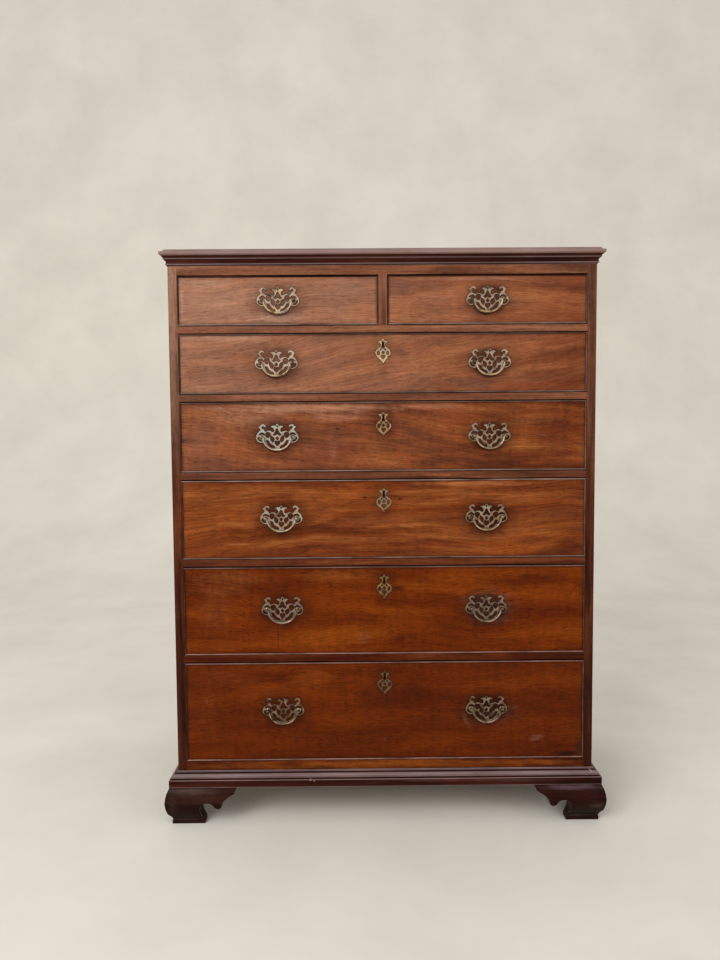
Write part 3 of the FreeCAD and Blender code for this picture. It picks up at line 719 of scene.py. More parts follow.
# paths in millimetres, out and down from the upper back corner; bands of painted highlight where the polish catches
# the light
mouldings = {
    "cornice": {
        "node": "cornice_moulding", "top": chest["caseTop"], "seed": 1,
        "bands": [(5.6, 8.1, 0.4), (18.8, 20.6, 0.35)],
        "path": [(0, 0), (13.2, 0), (13.4, 0.5), (11, 1.6, 8.8, 4.4), (8.8, 8.0), (7.6, 8.0), (3.9, 11.5, 2.8, 18.4),
                 (3.3, 18.4), (4.2, 19.7, 3.3, 21.0), (1.2, 21.0), (1.2, 23.5), (0, 23.5)]},
    "plinth": {
        "node": "base_moulding", "top": chest["caseLine"], "seed": 20,
        "bands": [(0.3, 2.4, 0.4), (6.0, 11.5, 0.88)],
        "path": [(0, 0), (2.2, 0), (2.6, 0.4), (2.6, 2.3), (4.4, 2.7), (4.9, 5.0), (11.8, 7.4, 15.0, 13.4),
                 (14.6, 14.8), (13.6, 15.6), (14.0, 17.2), (18.7, 17.9), (19.5, 18.8), (19.5, 35.9), (19.0, 36.5),
                 (0, 36.5)]},
}
# how far apart the sections of a moulding lie, and how deep its small dents are
sections = {"frontStep": 9 * mm, "endStep": 12 * mm, "dent": 0.5 * mm}
# the top board's nose takes the pale tone in its bands: a painted reflection of the sky in its polish
topEdge = {"step": 10 * mm, "dent": 0.6 * mm, "bumps": 40, "bands": [(1.0, 5.2, 0.9), (6.4, 14.0, 0.9)],
           "path": [(0, 0), (2.0, 0), (6.2, 1.1, 9.2, 5.0), (9.4, 6.5), (13.0, 6.6), (16.1, 8.0, 16.8, 11.2),
                    (16.3, 13.8, 14.3, 16), (0, 16)]}
half, back = chest["halfWidth"], chest["backFace"]


def mouldingRound(name, facts):
    # a front length with two mitres, and two end lengths that run square to the back
    profile = mouldingProfile(facts["path"], facts["bands"])
    lengths = [("_front", -1, (1, 0, 0), (0, -1, 0), 2 * half, (1, 1), sections["frontStep"], 0, mouldingAlongX)]
    lengths += [(side, sign, (0, 1, 0), (sign, 0, 0), back - face, (1, 0), sections["endStep"], 3 + sign,
                 mouldingAlongY) for side, sign in (("_left", -1), ("_right", 1))]
    for side, sign, along, outward, length, ends, step, shift, wood in lengths:
        mesh = mitredLength((sign * half, face, facts["top"]), along, outward, (0, 0, 1), length, profile, ends,
                            step, sections["dent"], facts["seed"] + shift)
        ready(newPiece(name + side, mesh, wood), "carcase", "mahogany", facts["node"])


def buildTop():
    # one board: its moulded edge runs round the front and both ends, and the back is square
    profile = mouldingProfile(topEdge["path"], topEdge["bands"])
    corners = [(-half, back), (-half, face), (half, face), (half, back)]
    rings = []
    for index, (one, two) in enumerate(zip(corners, corners[1:])):
        run = Vector(two) - Vector(one)
        along = run.normalized()
        edge = stuckRings((*one, chest["top"]), (*along, 0), (along.y, -along.x, 0), (0, 0, 1), run.length, profile,
                          (min(index, 1), min(2 - index, 1)), topEdge["step"], topEdge["dent"], topEdge["bumps"])
        rings += edge[1:] if index else edge
    bm = skinWithWearAndSheen(rings, profile, closed=False)
    verts, count = list(bm.verts), len(profile)
    bm.faces.new(verts[::count])
    bm.faces.new(verts[count - 1::count][::-1])
    bm.faces.new(verts[:count] + verts[-count:][::-1])
    return asMesh(bm, "top")


for name, facts in mouldings.items():
    mouldingRound(name, facts)
ready(newPiece("top_board_moulded", buildTop(), topWood), "carcase", "mahogany", "top_board")
for name in ("foot_front_left", "foot_front_right", "foot_rear_left", "foot_rear_right"):
    softened(name, name + "_carved", footWood, 0.9 * mm)
print("mouldings and feet are made")

# each front in millimetres (x0, x1, z0, z1), where its handles and keyhole sit, and how its wood looks
# the pale marks in a band just below each front's top edge are painted light, as more light falls on a front's upper
# part
drawers = {
    "drawer_1_left": {"box": (-497, -11.5, 1235, 1353), "handle": (254.25, 1294), "seed": 21, "tone": "faded",
        "look": {"tilt": 3, "hazeLeft": 0.5, "hazeRight": 0.06},
        "marks": [
            (-74, 1325, 62, 11, -3, "#57301f", 0.65), (-50, 1272, 36, 22, 8, "#a75c30", 0.5),
            (-489, 1294, 9, 55, 0, "#b79a88", 0.3), (-330, 1262, 80, 12, 3, "#a06c50", 0.3),
            (-150, 1310, 10, 6, 0, "#6b3a26", 0.4), (-420, 1335, 60, 10, 0, "#a58672", 0.35),
            (-254, 1252, 80, 12, 0, "#bd9078", 0.75), (-80, 1312, 60, 14, 0, "#7a4c3a", 0.4)]},
    "drawer_1_right": {"box": (11.5, 497, 1235, 1353), "handle": (254.25, 1294), "seed": 23, "tone": "faded",
        "look": {"tilt": -3, "hazeLeft": 0.42, "hazeRight": 0.0},
        "marks": [
            (64, 1317, 26, 15, 20, "#6b3d28", 0.4), (340, 1258, 70, 14, 3, "#a2582c", 0.35),
            (140, 1296, 70, 16, 6, "#7c4632", 0.25), (470, 1290, 110, 80, 0, "#6f3c26", 0.35),
            (215, 1345, 160, 8, 0, "#9f6c54", 0.6)]},
    "drawer_2": {"box": (-497, 497, 1070, 1214), "handle": (260, 1143), "key": 1186, "seed": 25, "tone": "faded",
        "look": {"tilt": 10, "hazeLeft": 0.38, "hazeRight": 0.0},
        "marks": [
            (-400, 1100, 85, 20, 4, "#7a4028", 0.72), (-90, 1128, 130, 20, 14, "#96552f", 0.45),
            (70, 1150, 130, 12, 14, "#84451f", 0.4), (41, 1171, 25, 17, -10, "#56241f", 0.65),
            (-34, 1171, 11, 12, 0, "#5e2f20", 0.5), (378, 1112, 78, 17, -3, "#5a2a16", 0.45),
            (345, 1085, 120, 11, 2, "#7a340f", 0.75), (150, 1201, 90, 8, 4, "#653421", 0.5),
            (430, 1150, 60, 22, 0, "#6f3718", 0.4), (480, 1130, 60, 60, 0, "#5f2c16", 0.3),
            (215, 1093, 78, 20, 0, "#553024", 0.7), (-380, 1205, 110, 9, 0, "#b58a70", 0.5)]},
    "drawer_3": {"box": (-497, 497, 879, 1049), "handle": (260, 964), "key": 1009, "seed": 27, "tone": "warm",
        "look": {"tilt": -5, "hazeLeft": 0.12, "hazeRight": 0.0, "ribbon": 0.12},
        "marks": [
            (-275, 1033, 40, 8, -10, "#ad7656", 0.5), (-111, 985, 38, 14, -8, "#552415", 0.5),
            (-115, 928, 110, 42, 0, "#6d2d12", 0.75), (-113, 983, 9, 5, 0, "#120604", 0.97),
            (-124, 940, 15, 55, 0, "#a87458", 0.14), (6, 982, 30, 26, 0, "#561208", 0.65),
            (95, 965, 85, 12, -17, "#4a2111", 0.5), (138, 903, 74, 15, 4, "#3c1a0d", 0.62),
            (155, 932, 85, 14, 8, "#4c2313", 0.5), (-400, 900, 80, 12, 3, "#5c2a15", 0.45),
            (389, 965, 16, 1.4, -10, "#a08070", 0.4), (-330, 1010, 120, 20, 0, "#a56f53", 0.48),
            (-440, 960, 60, 70, 0, "#74412d", 0.5), (430, 950, 80, 80, 0, "#5c2514", 0.58),
            (-200, 1034, 290, 15, 0, "#ab765a", 0.8), (-115, 1011, 90, 13, 0, "#a2674c", 0.75),
            (120, 1036, 110, 9, 0, "#a3664a", 0.75)]},
    "drawer_4": {"box": (-497, 497, 664, 858), "handle": (253, 764), "key": 822, "seed": 29, "tone": "warm",
        "look": {"tilt": 2, "glow": 0.5, "smoke": 0.32, "streak": 0.42, "streakWidth": 3.2, "deep": "#5a2811"},
        "marks": [
            (-301, 735, 34, 14, 5, "#4b200f", 0.4), (-153, 759, 50, 12, 12, "#955127", 0.6),
            (229, 840, 12, 7, 0, "#8a4a26", 0.4), (-47, 813, 8, 7, 0, "#431a0d", 0.7),
            (41, 810, 7, 6, 0, "#431a0d", 0.7), (455, 693, 50, 30, 10, "#431b0c", 0.48),
            (60, 745, 110, 7, 2, "#a05e2c", 0.7), (-40, 728, 140, 5, -2, "#55230f", 0.5),
            (120, 800, 120, 12, 3, "#a3602f", 0.4), (-363, 701, 38, 1.4, -1, "#b98c68", 0.35),
            (0, 680, 220, 9, 0, "#5c260f", 0.4), (-440, 760, 50, 90, 0, "#6a3a1c", 0.3),
            (440, 790, 70, 60, 0, "#5e2c14", 0.3), (215, 847, 165, 9, 0, "#aa643a", 0.8),
            (-185, 818, 70, 26, 0, "#9c5627", 0.5), (10, 757, 170, 24, 2, "#98532c", 0.45),
            (235, 722, 75, 20, 0, "#4f2716", 0.6), (370, 706, 80, 16, 0, "#5c2c16", 0.6)]},
    "drawer_5": {"box": (-497, 497, 424, 643), "handle": (253, 536.5), "key": 607, "seed": 31, "tone": "red",
        "look": {"tilt": -3, "smoke": 0.2, "streak": 0.32, "streakWidth": 1.8, "ribbon": 0.13},
        "marks": [
            (-265, 470, 1.3, 36, 2, "#1d0a04", 0.85), (-54, 466, 24, 20, 0, "#8f5a3c", 0.35),
            (40, 462, 20, 12, 20, "#451805", 0.7), (258, 538, 72, 50, 0, "#8d6453", 0.36),
            (36, 588, 18, 9, 0, "#330f05", 0.65), (-120, 470, 180, 34, 2, "#93490a", 0.5),
            (400, 612, 80, 15, -4, "#4a1b0a", 0.4), (-420, 540, 60, 70, 0, "#7d4120", 0.3),
            (110, 590, 130, 16, -8, "#84400e", 0.2), (-100, 560, 140, 50, 0, "#863a04", 0.4),
            (30, 500, 90, 40, 10, "#7e3a06", 0.3), (-380, 615, 125, 24, 0, "#7c401c", 0.6),
            (-110, 620, 130, 20, 0, "#8f491a", 0.6), (-400, 586, 95, 16, 0, "#7c3f1b", 0.45),
            (335, 602, 135, 18, -2, "#4a1703", 0.65)]},
    "drawer_6": {"box": (-497, 497, 155, 403), "handle": (254, 282), "key": 365, "seed": 33, "tone": "red",
        "look": {"tilt": 2, "glow": 0.2, "smoke": 0.12, "deep": "#521d03", "mid": "#602404", "pale": "#6c2d05",
            "streak": 0.34, "streakWidth": 1.8, "ribbon": 0.12},
        "marks": [
            (-120, 208, 1.5, 13, 15, "#120603", 0.9), (0, 207, 5, 6, 0, "#5b463a", 0.6),
            (262, 272, 84, 38, 0, "#5c4036", 0.42), (382, 207, 24, 9, 10, "#8a5d46", 0.36),
            (455, 164, 52, 8, 0, "#1c0f0a", 0.88), (-200, 251, 56, 32, 0, "#4c1e0b", 0.4),
            (-7, 331, 50, 32, 0, "#6a2c14", 0.25), (486, 180, 12, 26, 0, "#3a2118", 0.7),
            (-450, 290, 60, 90, 0, "#6a2e10", 0.3), (-280, 330, 90, 30, 0, "#7a3408", 0.4),
            (-150, 290, 130, 60, 0, "#742d04", 0.4), (-445, 305, 3, 12, 5, "#8f6248", 0.3),
            (203, 252, 8, 26, 25, "#6d4c42", 0.5), (322, 285, 24, 6, 0, "#6b4a3c", 0.35),
            (-180, 362, 70, 28, 0, "#87410f", 0.55), (-400, 365, 100, 30, 0, "#773413", 0.4)]},
}
keyholeRise = 15.6  # millimetres, above the middle of its escutcheon
frontTones = {
    "faded": {"deep": "#66301a", "mid": "#814527", "pale": "#9a5c37", "smokeTone": "#4c2413", "glowTone": "#a95a29",
              "halo": 0.5, "grimeAmount": 0.3, "hazeLow": 0.9, "grime": "#23150f", "streak": 0.34, "pore": 0.3},
    "warm": {"deep": "#53230f", "mid": "#763817", "pale": "#935328", "smokeTone": "#391708", "glowTone": "#9a4a16",
             "halo": 0.6, "grimeAmount": 0.32},
    "red": {"deep": "#571f03", "mid": "#682803", "pale": "#7f3806", "smokeTone": "#421504", "glowTone": "#8c3d05",
            "halo": 0.6, "grimeAmount": 0.42, "streak": 0.26, "pore": 0.42, "smoke": 0.26, "figureWidth": 44.0},
}
beads = {
    "thickness": 3.2 * mm, "root": -229.5 * mm, "nose": -238.0 * mm, "round": 1.5 * mm, "step": 11 * mm,
    "dent": 0.35 * mm,
    # a bead nose's pale tone: bare wood, and a painted reflection of the sky in its polish
    "bare": {"faded": "#b59c90", "warm": "#b3968a", "red": "#a87f74"},
    "lost": {"drawer_4": (-78 * mm, -26 * mm)},
    "stub": 0.6 * mm, "stubStep": 4 * mm,   # what is left of the lost stretch, behind the front face
    # how far the bottom, top, left and right beads of a drawer go pale: wear, and painted light, highest on bottom
    # beads that face the light and low on top beads in the rail's shade
    "rubbed": {"drawer_1_left": (0.65, 0.0, 0.05, 0.15), "drawer_1_right": (0.7, 0.0, 0.1, 0.3),
               "drawer_2": (0.5, 0.25, 0.1, 0.4), "drawer_3": (0.7, 0.45, 0.1, 0.4),
               "drawer_4": (0.7, 0.85, 0.15, 0.4), "drawer_5": (1.2, 0.6, 0.1, 0.25),
               "drawer_6": (1.2, 0.9, 0.1, 0.35)},
}


def beadProfile():
    # across the bead's thickness, then its depth; the rounded nose is what gets rubbed and carries the painted
    # highlight
    t, root, nose = beads["thickness"], beads["root"], beads["nose"]
    rounded = [math.pi * k / 6 for k in range(7)]
    return [(0, root, 0.0), *[(t / 2 - t / 2 * math.cos(a), nose + beads["round"] * (1 - math.sin(a)), math.sin(a))
                              for a in rounded], (t, root, 0.0)]


def cockBeads(name, x0, x1, z0, z1, wood):
    # bottom, top, left and right strips, each with its own wear and painted highlight; one bottom strip has broken
    # off short over a stretch
    profile = beadProfile()
    bottom, top, left, right = beads["rubbed"][name]
    strips = [((x0, z0), (1, 0, 0), (0, 0, 1), x1 - x0, (-1, -1), bottom),
              ((x0, z1), (1, 0, 0), (0, 0, -1), x1 - x0, (-1, -1), top),
              ((x0, z0), (0, 0, 1), (1, 0, 0), z1 - z0, (-1, -1), left),
              ((x1, z0), (0, 0, 1), (-1, 0, 0), z1 - z0, (-1, -1), right)]
    lost0, lost1 = beads["lost"].get(name, (0, 0))
    if lost1 > lost0:
        strips[0:1] = [((x0, z0), (1, 0, 0), (0, 0, 1), lost0 - x0, (-1, 0), bottom),
                       ((lost1, z0), (1, 0, 0), (0, 0, 1), x1 - lost1, (0, -1), bottom)]
    lengths = []
    for index, ((x, z), along, inward, length, ends, rubbed) in enumerate(strips):
        strip = [(p, h, worn * rubbed) for p, h, worn in profile]
        lengths.append(mitredLength((x, 0, z), along, inward, (0, 1, 0), length, strip, ends, beads["step"],
                                    beads["dent"], index * 7 + len(name)))
    if lost1 > lost0:
        stub = [(p, max(h, face + beads["stub"]), 0.35 * worn) for p, h, worn in profile]
        lengths.append(mitredLength((lost0, 0, z0), (1, 0, 0), (0, 0, 1), (0, 1, 0), lost1 - lost0, stub, (0, 0),
                                    beads["stubStep"], beads["dent"], 3))
    ready(newPiece(name + "_cock_beads", asMesh(taken(*lengths), name), wood, 60), name, "mahogany",
          name + "_bead")


# the beads are toned near black: old dark polish, and painted shade of the gaps that flank them
beadWood = {tone: mahogany(
    "cock_beads_" + tone, seed=14.0 + index, deep="#180906", mid="#28120c", pale="#3e2018", worn=bare,
    wornLeast=0.2, wornMost=1.1, wearLength=90.0, hidden=1.0, glow=0.1)
    for index, (tone, bare) in enumerate(beads["bare"].items())}
for name, facts in drawers.items():
    x0, x1, z0, z1 = (v * mm for v in facts["box"])
    facts["handle"] = tuple(v * mm for v in facts["handle"])
    facts["key"] = (facts["key"] - keyholeRise) * mm if "key" in facts else None
    wood = mahogany(name, **{
        **frontTones[facts["tone"]], **facts["look"], "seed": facts["seed"], "marks": facts["marks"],
        "front": ((x0 + x1) / 2, (x1 - x0) / 2, (z0 + z1) / 2, (z1 - z0) / 2),
        "handle": facts["handle"], "key": facts["key"], "hidden": 1.0})
    dressNode(cadNodes[name + "_front"], wood)
    cockBeads(name, x0, x1, z0, z1, beadWood[facts["tone"]])
print("drawer fronts and cock beads are done")

# Outlines of the right half in millimetres from the middle of the pair of posts, z up; "c" is a corner.
plate = {
    "thickness": 1.7 * mm,
    "edge": 0.45 * mm,
    "pared": 0.3 * mm,      # filed off every bar
    "outline": [
        (0, 32.5), (3, 30), (4, 27.5, "c"), (9, 28.5), (16.6, 25.5, "c"), (11, 22.5), (8.3, 19), (8, 15),
        (10.5, 12, "c"), (15, 14.6), (22, 15.8), (29, 13.5), (31.6, 17, "c"), (33.2, 19.4), (36.6, 21.2),
        (37.6, 24.4), (35.0, 26.6), (31.6, 25.2), (28.2, 23.2, "c"), (28.4, 27.4), (31.2, 31.0), (35.6, 32.0),
        (39.8, 30.5), (42, 27.8), (46.8, 25.3, "c"), (43, 21), (41.5, 17, "c"), (47, 11.5), (51.5, 4), (52.2, -3),
        (50, -8), (44, -12.6), (38, -14), (33.5, -13.5, "c"), (31.5, -13), (26.5, -22.5), (18, -29), (9, -31.9),
        (0, -32.5)],
    "middleHoles": [
        [(0, 29.8, "c"), (2.1, 26.8, "c"), (0, 23.8, "c")],
        [(0, 21.2, "c"), (3.0, 17.6), (3.8, 15), (6, 11.2), (10, 6.5, "c"), (5.5, 3.8), (0, 7.3, "c")],
        [(0, 2.2, "c"), (4, -2.8, "c"), (0, -7.6, "c")],
        [(0, -11.0, "c"), (3.3, -8.6), (6.8, -11.6), (5.1, -17.3), (0, -21.8, "c")]],
    "sideHoles": [
        [(15.3, 3.9, "c"), (17.2, -2), (15, -8.4), (10.2, -13.2, "c"), (7.4, -8.2), (7.9, -2)],
        [(16.4, 6), (18.0, 10.7), (23, 12.4), (27.9, 10.3), (28.8, 5), (25.8, -0.4), (21.5, -1.6), (18.4, 1.8)],
        [(27.4, -7.4, "c"), (24.9, -16), (19.3, -22.7), (12.3, -26.6), (6.0, -27.3, "c"), (7.0, -21.9),
         (13.0, -19.0), (18.3, -14.2), (22.3, -8.0)],
        [(30.2, 4), (32, 8.8), (37, 11.2), (42, 9.4), (45, 5.6), (41.8, 6), (38, 7.0), (34, 6)],
        [(39.2, -7), (43.6, -5), (46.4, 0.4), (48.2, -3.4), (45.6, -8), (40, -10.4), (36.2, -9.4)]],
}
escutcheon = {
    "thickness": 1.6 * mm,
    "edge": 0.5 * mm,
    "pared": 0.35 * mm,
    "outline": [
        (0, 32.4, "c"), (2.6, 29.1), (4, 26.5, "c"), (9, 26), (13.5, 22.9, "c"), (7.5, 18.7), (6, 13.5), (9.5, 9.9),
        (17, 3.1), (19.5, -4.2), (15, -13.5), (7, -20.8), (2.8, -26), (0, -31.2, "c")],
    "middleHoles": [
        [(0, 25.2), (3.0, 22.4), (2.2, 19), (2.4, 15.2), (4.0, 11.6), (3.4, 8.4), (0, 6.8)],
        [(0, 1.2, "c"), (3.6, -3.1, "c"), (0, -6.8, "c")],
        [(0, -10, "c"), (2.6, -8.6), (5.4, -11), (4, -15), (0, -19.1, "c")]],
    "sideHoles": [
        [(5.7, 6.5), (7.4, 4.5), (5.7, 2.3), (4.0, 4.5)],
        [(11.3, 1.5), (14.2, -2.7), (13.6, -6.9), (10.6, -8.8), (8.4, -4.6), (9, -1)]],
    "pins": [(0, 29.1), (0, -22.9)],
}
waxShadow = {"thickness": 0.3 * mm, "reach": 0.4 * mm}  # dried along the castings, and painted contact shadow
# lathe work: the number of its flats, and (distance from the plate, radius) in millimetres
lathed = {
    "post": (14, [(0.0, 2.4), (0.0, 5.6), (-0.9, 5.7), (-1.5, 5.0), (-2.0, 3.7), (-3.6, 3.2), (-5.0, 3.5),
                  (-6.2, 4.3), (-8.4, 4.75), (-10.6, 4.6), (-12.2, 3.7), (-13.0, 2.2), (-13.3, 0.8)]),
    "pin": (8, [(0.6, 1.1), (0.0, 1.3), (-0.5, 1.15), (-0.8, 0.6)]),
    "nail": (7, [(-0.8, 2.6), (0.0, 3.1), (0.5, 2.7), (0.9, 1.5)]),
}


def mirrored(points):
    return [(-point[0], *point[1:]) for point in points]


def fullLoop(points):
    # closes a right half that runs from the middle line back to it
    return points + mirrored([point for point in points[::-1] if point[0]])


def piercedSheet(name, facts, thickness, edge, spread):
    # a flat curve with its piercings, given a thickness and an eased edge; spread widens every bar of it
    curve = bpy.data.curves.new(name, "CURVE")
    curve.dimensions = "2D"
    curve.fill_mode = "BOTH"
    curve.resolution_u = 5
    loops = [fullLoop(loop) for loop in (facts["outline"], *facts["middleHoles"])]
    for hole in facts["sideHoles"]:
        loops += [hole, mirrored(hole)]
    for loop in loops:
        spline = curve.splines.new("BEZIER")
        spline.use_cyclic_u = True
        spline.bezier_points.add(len(loop) - 1)
        for knot, point in zip(spline.bezier_points, loop):
            knot.co = (point[0] * mm, point[1] * mm, 0)
            knot.handle_left_type = knot.handle_right_type = "VECTOR" if point[-1] == "c" else "AUTO"
    curve.extrude = thickness / 2 - edge
    curve.bevel_depth = edge
    curve.bevel_resolution = 0
    curve.offset = spread - edge
    flat = linked(name, curve)
    bpy.context.view_layer.update()
    mesh = evaluated(flat)
    mesh.transform(Matrix.Rotation(math.radians(90), 4, "X"))
    return asMesh(taken(mesh, near=0.02 * mm), name)


def turnedWork(sides, profile):
    turns = [math.tau * k / sides for k in range(sides)]
    rings = [[(radius * mm * math.cos(a), along * mm, radius * mm * math.sin(a)) for a in turns]
             for along, radius in profile]
    return asMesh(meshFrom(rings), "turned")


def newTree(name, sockets):
    # a geometry tree, what adds nodes to it, and what it is given
    tree = bpy.data.node_groups.new(name, "GeometryNodeTree")
    for label, kind in (("Geometry", "Geometry"), *sockets, ("Material", "Material")):
        tree.interface.new_socket(label, in_out="INPUT", socket_type="NodeSocket" + kind)
    tree.interface.new_socket("Geometry", in_out="OUTPUT", socket_type="NodeSocketGeometry")
    add = partial(addNode, tree)
    return tree, add, add("NodeGroupInput").outputs


def finishTree(tree, add, geometry, given):
    # realised and painted, so that the result is a plain mesh
    real = add("GeometryNodeRealizeInstances", [geometry])
    smooth = add("GeometryNodeSetShadeSmooth", {"Geometry": real})
    painted = add("GeometryNodeSetMaterial", {"Geometry": smooth, "Material": given["Material"]})
    add("NodeGroupOutput", [painted])
    return tree


def grown(name, points, edges, tree, **values):
    # runs a tree on a few points, and gives back what it made
    seedMesh = bpy.data.meshes.new(name)
    seedMesh.from_pydata(points, edges, [])
    holder = linked(name + ".grown", seedMesh)
    modifier = holder.modifiers.new("grow", "NODES")
    modifier.node_group = tree
    for item in tree.interface.items_tree:
        if item.in_out == "INPUT" and item.name in values:
            modifier[item.identifier] = values[item.name]
    return evaluated(holder)


def bailTree():
    # sweeps a round bar along the bow, thicker towards its middle
    tree, add, given = newTree("castBow", [("Radius", "Float"), ("Swell", "Float"), ("Sides", "Int")])
    line = add("GeometryNodeMeshToCurve", {"Mesh": given["Geometry"]})
    share = add("GeometryNodeSplineParameter").outputs["Factor"]
    belly = add("Math", [add("Math", [share, math.pi], operation="MULTIPLY")], operation="SINE")
    belly = add("Math", [belly, 3.0], operation="POWER")
    extra = add("Math", [belly, given["Swell"], 1.0], operation="MULTIPLY_ADD")
    section = add("GeometryNodeCurvePrimitiveCircle", {"Resolution": given["Sides"], "Radius": 1.0})
    bar = add("GeometryNodeCurveToMesh", {
        "Curve": line, "Profile Curve": section, "Fill Caps": True,
        "Scale": add("Math", [extra, given["Radius"]], operation="MULTIPLY")})
    return finishTree(tree, add, bar, given)


def copiesTree():
    # sets a copy of one casting on every point
    tree, add, given = newTree("setOnPoints", [("Casting", "Object")])
    casting = add("GeometryNodeObjectInfo", {"Object": given["Casting"]}).outputs["Geometry"]
    points = add("GeometryNodeMeshToPoints", {"Mesh": given["Geometry"]})
    return finishTree(tree, add, add("GeometryNodeInstanceOnPoints", {"Points": points, "Instance": casting}), given)


lockBrass = oldBrass("sheet_brass_lock_cases", bright="#6b5635", mid="#4c3b24", dull="#2a1f14", gold="#5e4a2a",
                     grey="#4a4136", green=0.12)
shadowWax = waxAndShadow("dried_wax_and_polish")
bowTree, setTree = bailTree(), copiesTree()
patterns = {label: turnedWork(*facts) for label, facts in lathed.items()}
for label, facts in (("plate", plate), ("escutcheon", escutcheon)):
    patterns[label] = piercedSheet(label, facts, facts["thickness"], facts["edge"], -facts["pared"])
    patterns[label + "Wax"] = piercedSheet(label + "Wax", facts, waxShadow["thickness"], 0.0, waxShadow["reach"])


def setCopies(piece, label, spots, material, body, slot="brass", sharpAngle=35, replaced=()):
    # copies of one pattern, set on its spots, as one piece
    pattern = bpy.data.objects.new(label + ".pattern", patterns[label])
    mesh = grown(piece, spots, [], setTree, Casting=pattern, Material=material)
    bpy.data.objects.remove(pattern)
    ready(newPiece(piece, mesh, material, sharpAngle), body, slot, *replaced)


bails = {
    "radius": 1.9 * mm, "swell": 0.28, "sides": 12, "axis": -246.5 * mm, "postHalf": 38.1 * mm,
    # right half of the bow's middle line, from the pin's tip to the lowest point
    "line": [(41.2, 0), (38.5, 0), (35.8, -0.2), (34.4, -1.6), (33.9, -4.5), (33.0, -9.5), (30.0, -15.5),
             (25.0, -21.5), (18.5, -26.5), (10.5, -29.8), (0, -31.0)],
}
greens = {"drawer_3_left": 0.62, "drawer_4_left": 0.42, "drawer_1_right": 0.25, "drawer_2_right": 0.18}
# more on the left-hand handles, which face the light: painted highlight as well as worn pale brass
bleachedAndLit = {"drawer_1_left": 0.06, "drawer_2_left": 0.08, "drawer_3_left": 0.32, "drawer_3_right": 0.06,
            "drawer_4_left": 0.16, "drawer_5_left": 0.14, "drawer_5_right": 0.04}
# the lower a row hangs, the darker its brasses, bows and escutcheons: tarnish, and painted shade of the lower rows
brassTones = {
    "faded": {"bright": "#c6b09a", "mid": "#927b68", "dull": "#46332a", "gold": "#bf9e70", "grey": "#a09389"},
    "warm": {"bright": "#b8a18a", "mid": "#7c6653", "dull": "#3b2a20", "gold": "#9a7e5a", "grey": "#897c72"},
    "red": {"bright": "#9e8872", "mid": "#644e3e", "dull": "#2d1e16", "gold": "#7e6542", "grey": "#716055"},
}
# (bright, mid) of the bows and of the escutcheons
bowTones = {"faded": ("#dcc89a", "#ab9066"), "warm": ("#c8b08e", "#90785e"), "red": ("#b49e82", "#806a54")}
keyTones = {"drawer_2": ("#e4d0a4", "#b59c72"), "drawer_3": ("#bfa580", "#957555"),
            "drawer_4": ("#b59a72", "#8d7050"), "drawer_5": ("#a68656", "#866a40"),
            "drawer_6": ("#7e654a", "#665038")}
# painted shade: the posts are toned far darker than the plates they stand on
postTones = {"bright": "#9a866c", "mid": "#4e3e2e", "dull": "#1c130c", "gold": "#7d6a4a", "grey": "#4a4038",
             "rough": 0.3}


def smoothLine(points, steps=3):
    # a Catmull-Rom line through the points
    made = []
    ends = [points[0], *points, points[-1]]
    for a, b, c, d in zip(ends, ends[1:], ends[2:], ends[3:]):
        for k in range(steps):
            t = k / steps
            made.append([0.5 * (2 * q + (r - p) * t + (2 * p - 5 * q + 4 * r - s) * t * t
                                + (3 * q - p - 3 * r + s) * t ** 3) for p, q, r, s in zip(a, b, c, d)])
    return made + [points[-1]]


def hangBail(drawer, side, x, z, brass):
    line = [(x + u * mm, bails["axis"], z + v * mm)
            for u, v in smoothLine(mirrored(bails["line"]) + bails["line"][-2::-1])]
    name = "bail_" + drawer.removeprefix("drawer_") + side
    mesh = grown(name, line, [(k, k + 1) for k in range(len(line) - 1)], bowTree, Radius=bails["radius"],
                 Swell=bails["swell"], Sides=bails["sides"], Material=brass)
    ready(newPiece(name + "_bow", mesh, brass, 50), name, "brass", name)


def lockCase(name, brass):
    # the lock is the part of the node's mesh that lies inside the drawer front, past the plates and pins
    bm = taken(cadNodes[name + "_brasses"].data, near=0.01 * mm)
    lockFront = face + 5 * mm
    bmesh.ops.delete(bm, geom=[v for v in bm.verts if v.co.y < lockFront], context="VERTS")
    flattened(bm)
    ready(newPiece(name + "_lock", asMesh(bm, name), brass), name, "brass", name + "_brasses")


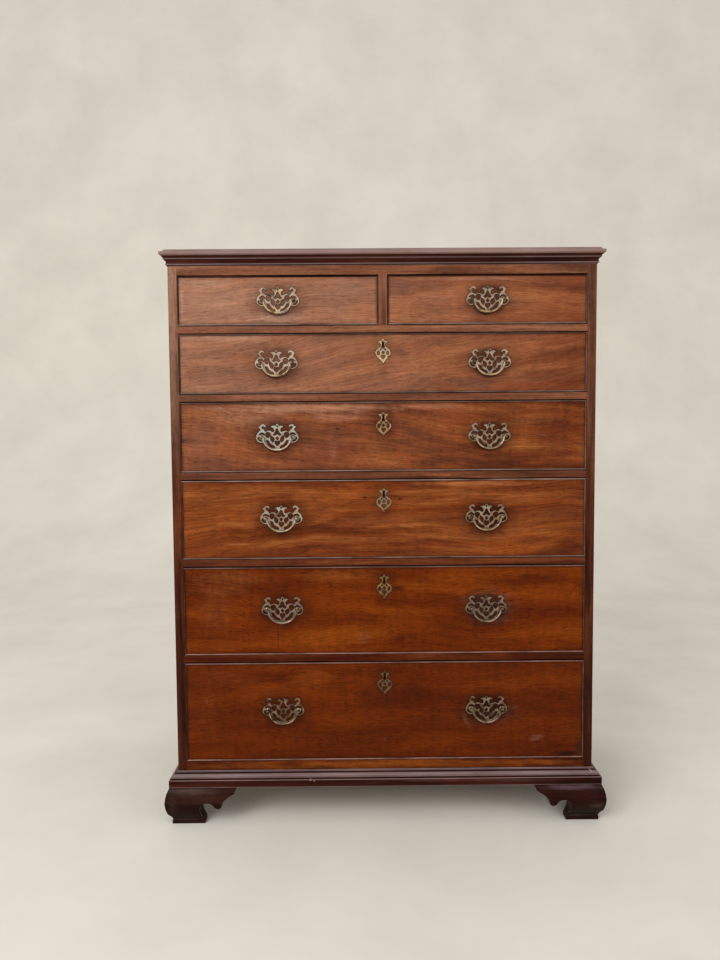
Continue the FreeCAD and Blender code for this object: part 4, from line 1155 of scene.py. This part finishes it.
for name, facts in drawers.items():
    tones, seed = brassTones[facts["tone"]], facts["seed"]
    middle, z = facts["handle"]
    sides = [("_left", -middle), ("_right", middle)]
    if name.startswith("drawer_1"):
        sides = [("", dict(sides)["_" + name.split("_")[2]])]
    setOn = partial(setCopies, body=name, replaced=[name + "_brasses"])
    for index, (side, x) in enumerate(sides):
        handle = name + side
        green, bleach, own = greens.get(handle, brassLook["green"]), bleachedAndLit.get(handle, 0.0), seed + index * 0.7
        brass = oldBrass("cast_brass_" + handle, seed=own, green=green, bleach=bleach, **tones)
        dark = oldBrass(f"turned_brass_{handle}_posts", seed=own + 3, green=green, **postTones)
        bright, mid = bowTones[facts["tone"]]
        bow = oldBrass(f"cast_brass_{handle}_bow", seed=own + 5, green=green / 2, bleach=bleach,
                       **{**tones, "bright": bright, "mid": mid})
        setOn(handle + "_plate", "plate", [(x, face - plate["thickness"] / 2, z)], brass)
        # a dark sheet a hair wider than the plate: dried wax, and the plate's painted contact shadow
        setOn(handle + "_plate_wax", "plateWax", [(x, face - waxShadow["thickness"] / 2, z)], shadowWax)
        setOn(handle + "_posts", "post", [(x + offset, face - plate["thickness"], z) for offset in (
            -bails["postHalf"], bails["postHalf"])], dark, sharpAngle=50)
        hangBail(name, side, x, z, bow)
    if facts["key"]:
        bright, mid = keyTones[name]
        brass = oldBrass(f"cast_brass_{name}_escutcheon", seed=seed + 2.2, green=0.04,
                         **{**tones, "bright": bright, "mid": mid})
        z, depth = facts["key"], escutcheon["thickness"]
        setOn(name + "_escutcheon", "escutcheon", [(0, face - depth / 2, z)], brass)
        # a dark sheet a hair wider than the escutcheon: dried wax, and its painted contact shadow
        setOn(name + "_escutcheon_wax", "escutcheonWax", [(0, face - waxShadow["thickness"] / 2, z)], shadowWax)
        setOn(name + "_escutcheon_pins", "pin", [(u * mm, face - depth, z + v * mm) for u, v in escutcheon["pins"]],
              brass, sharpAngle=50)
        lockCase(name, lockBrass)
print("brasses are on")

boards = {
    "count": 5, "halfWidth": 506 * mm, "front": 252.5 * mm, "foot": 94 * mm, "gap": 0.5 * mm, "eased": 1.5 * mm,
    "nailX": (-499, -250, 250, 499), "nailRise": (-95, 0, 95),
}


def backBoard(height):
    # one board round the origin, its arrises eased, a hair short of its neighbours
    bm = bmesh.new()
    bmesh.ops.create_cube(bm, size=1.0)
    size = (2 * boards["halfWidth"], back - boards["front"], height - 2 * boards["gap"])
    bmesh.ops.scale(bm, vec=size, verts=bm.verts[:])
    bmesh.ops.bevel(bm, geom=bm.edges[:], offset=boards["eased"], segments=2, profile=0.5, affect="EDGES")
    return asMesh(bm, "board")


boardHeight = (chest["caseTop"] - boards["foot"]) / boards["count"]
boardMiddles = [boards["foot"] + boardHeight * (k + 0.5) for k in range(boards["count"])]
backDeal = dryWood("sawn_deal_back_boards", grain="x", seed=7.0, dark="#564331", light="#84694b", lateWood=0.12,
                   boards=(boards["foot"], boardHeight))
patterns["board"] = backBoard(boardHeight)
setCopies("back_boards_sawn", "board", [(0, (boards["front"] + back) / 2, z) for z in boardMiddles], backDeal,
          "carcase", "secondary_wood", 30, ["back_boards"])
setCopies("back_nails", "nail", [(x * mm, back, z + rise * mm) for z in boardMiddles
                                 for rise in boards["nailRise"] for x in boards["nailX"]],
          iron, "carcase", "steel", 50)
print("the back is boarded up")

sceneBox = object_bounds()
for label, box in (("cad", cadBox), ("scene", sceneBox)):
    print(label, "box", [[round(v, 4) for v in corner] for corner in box])
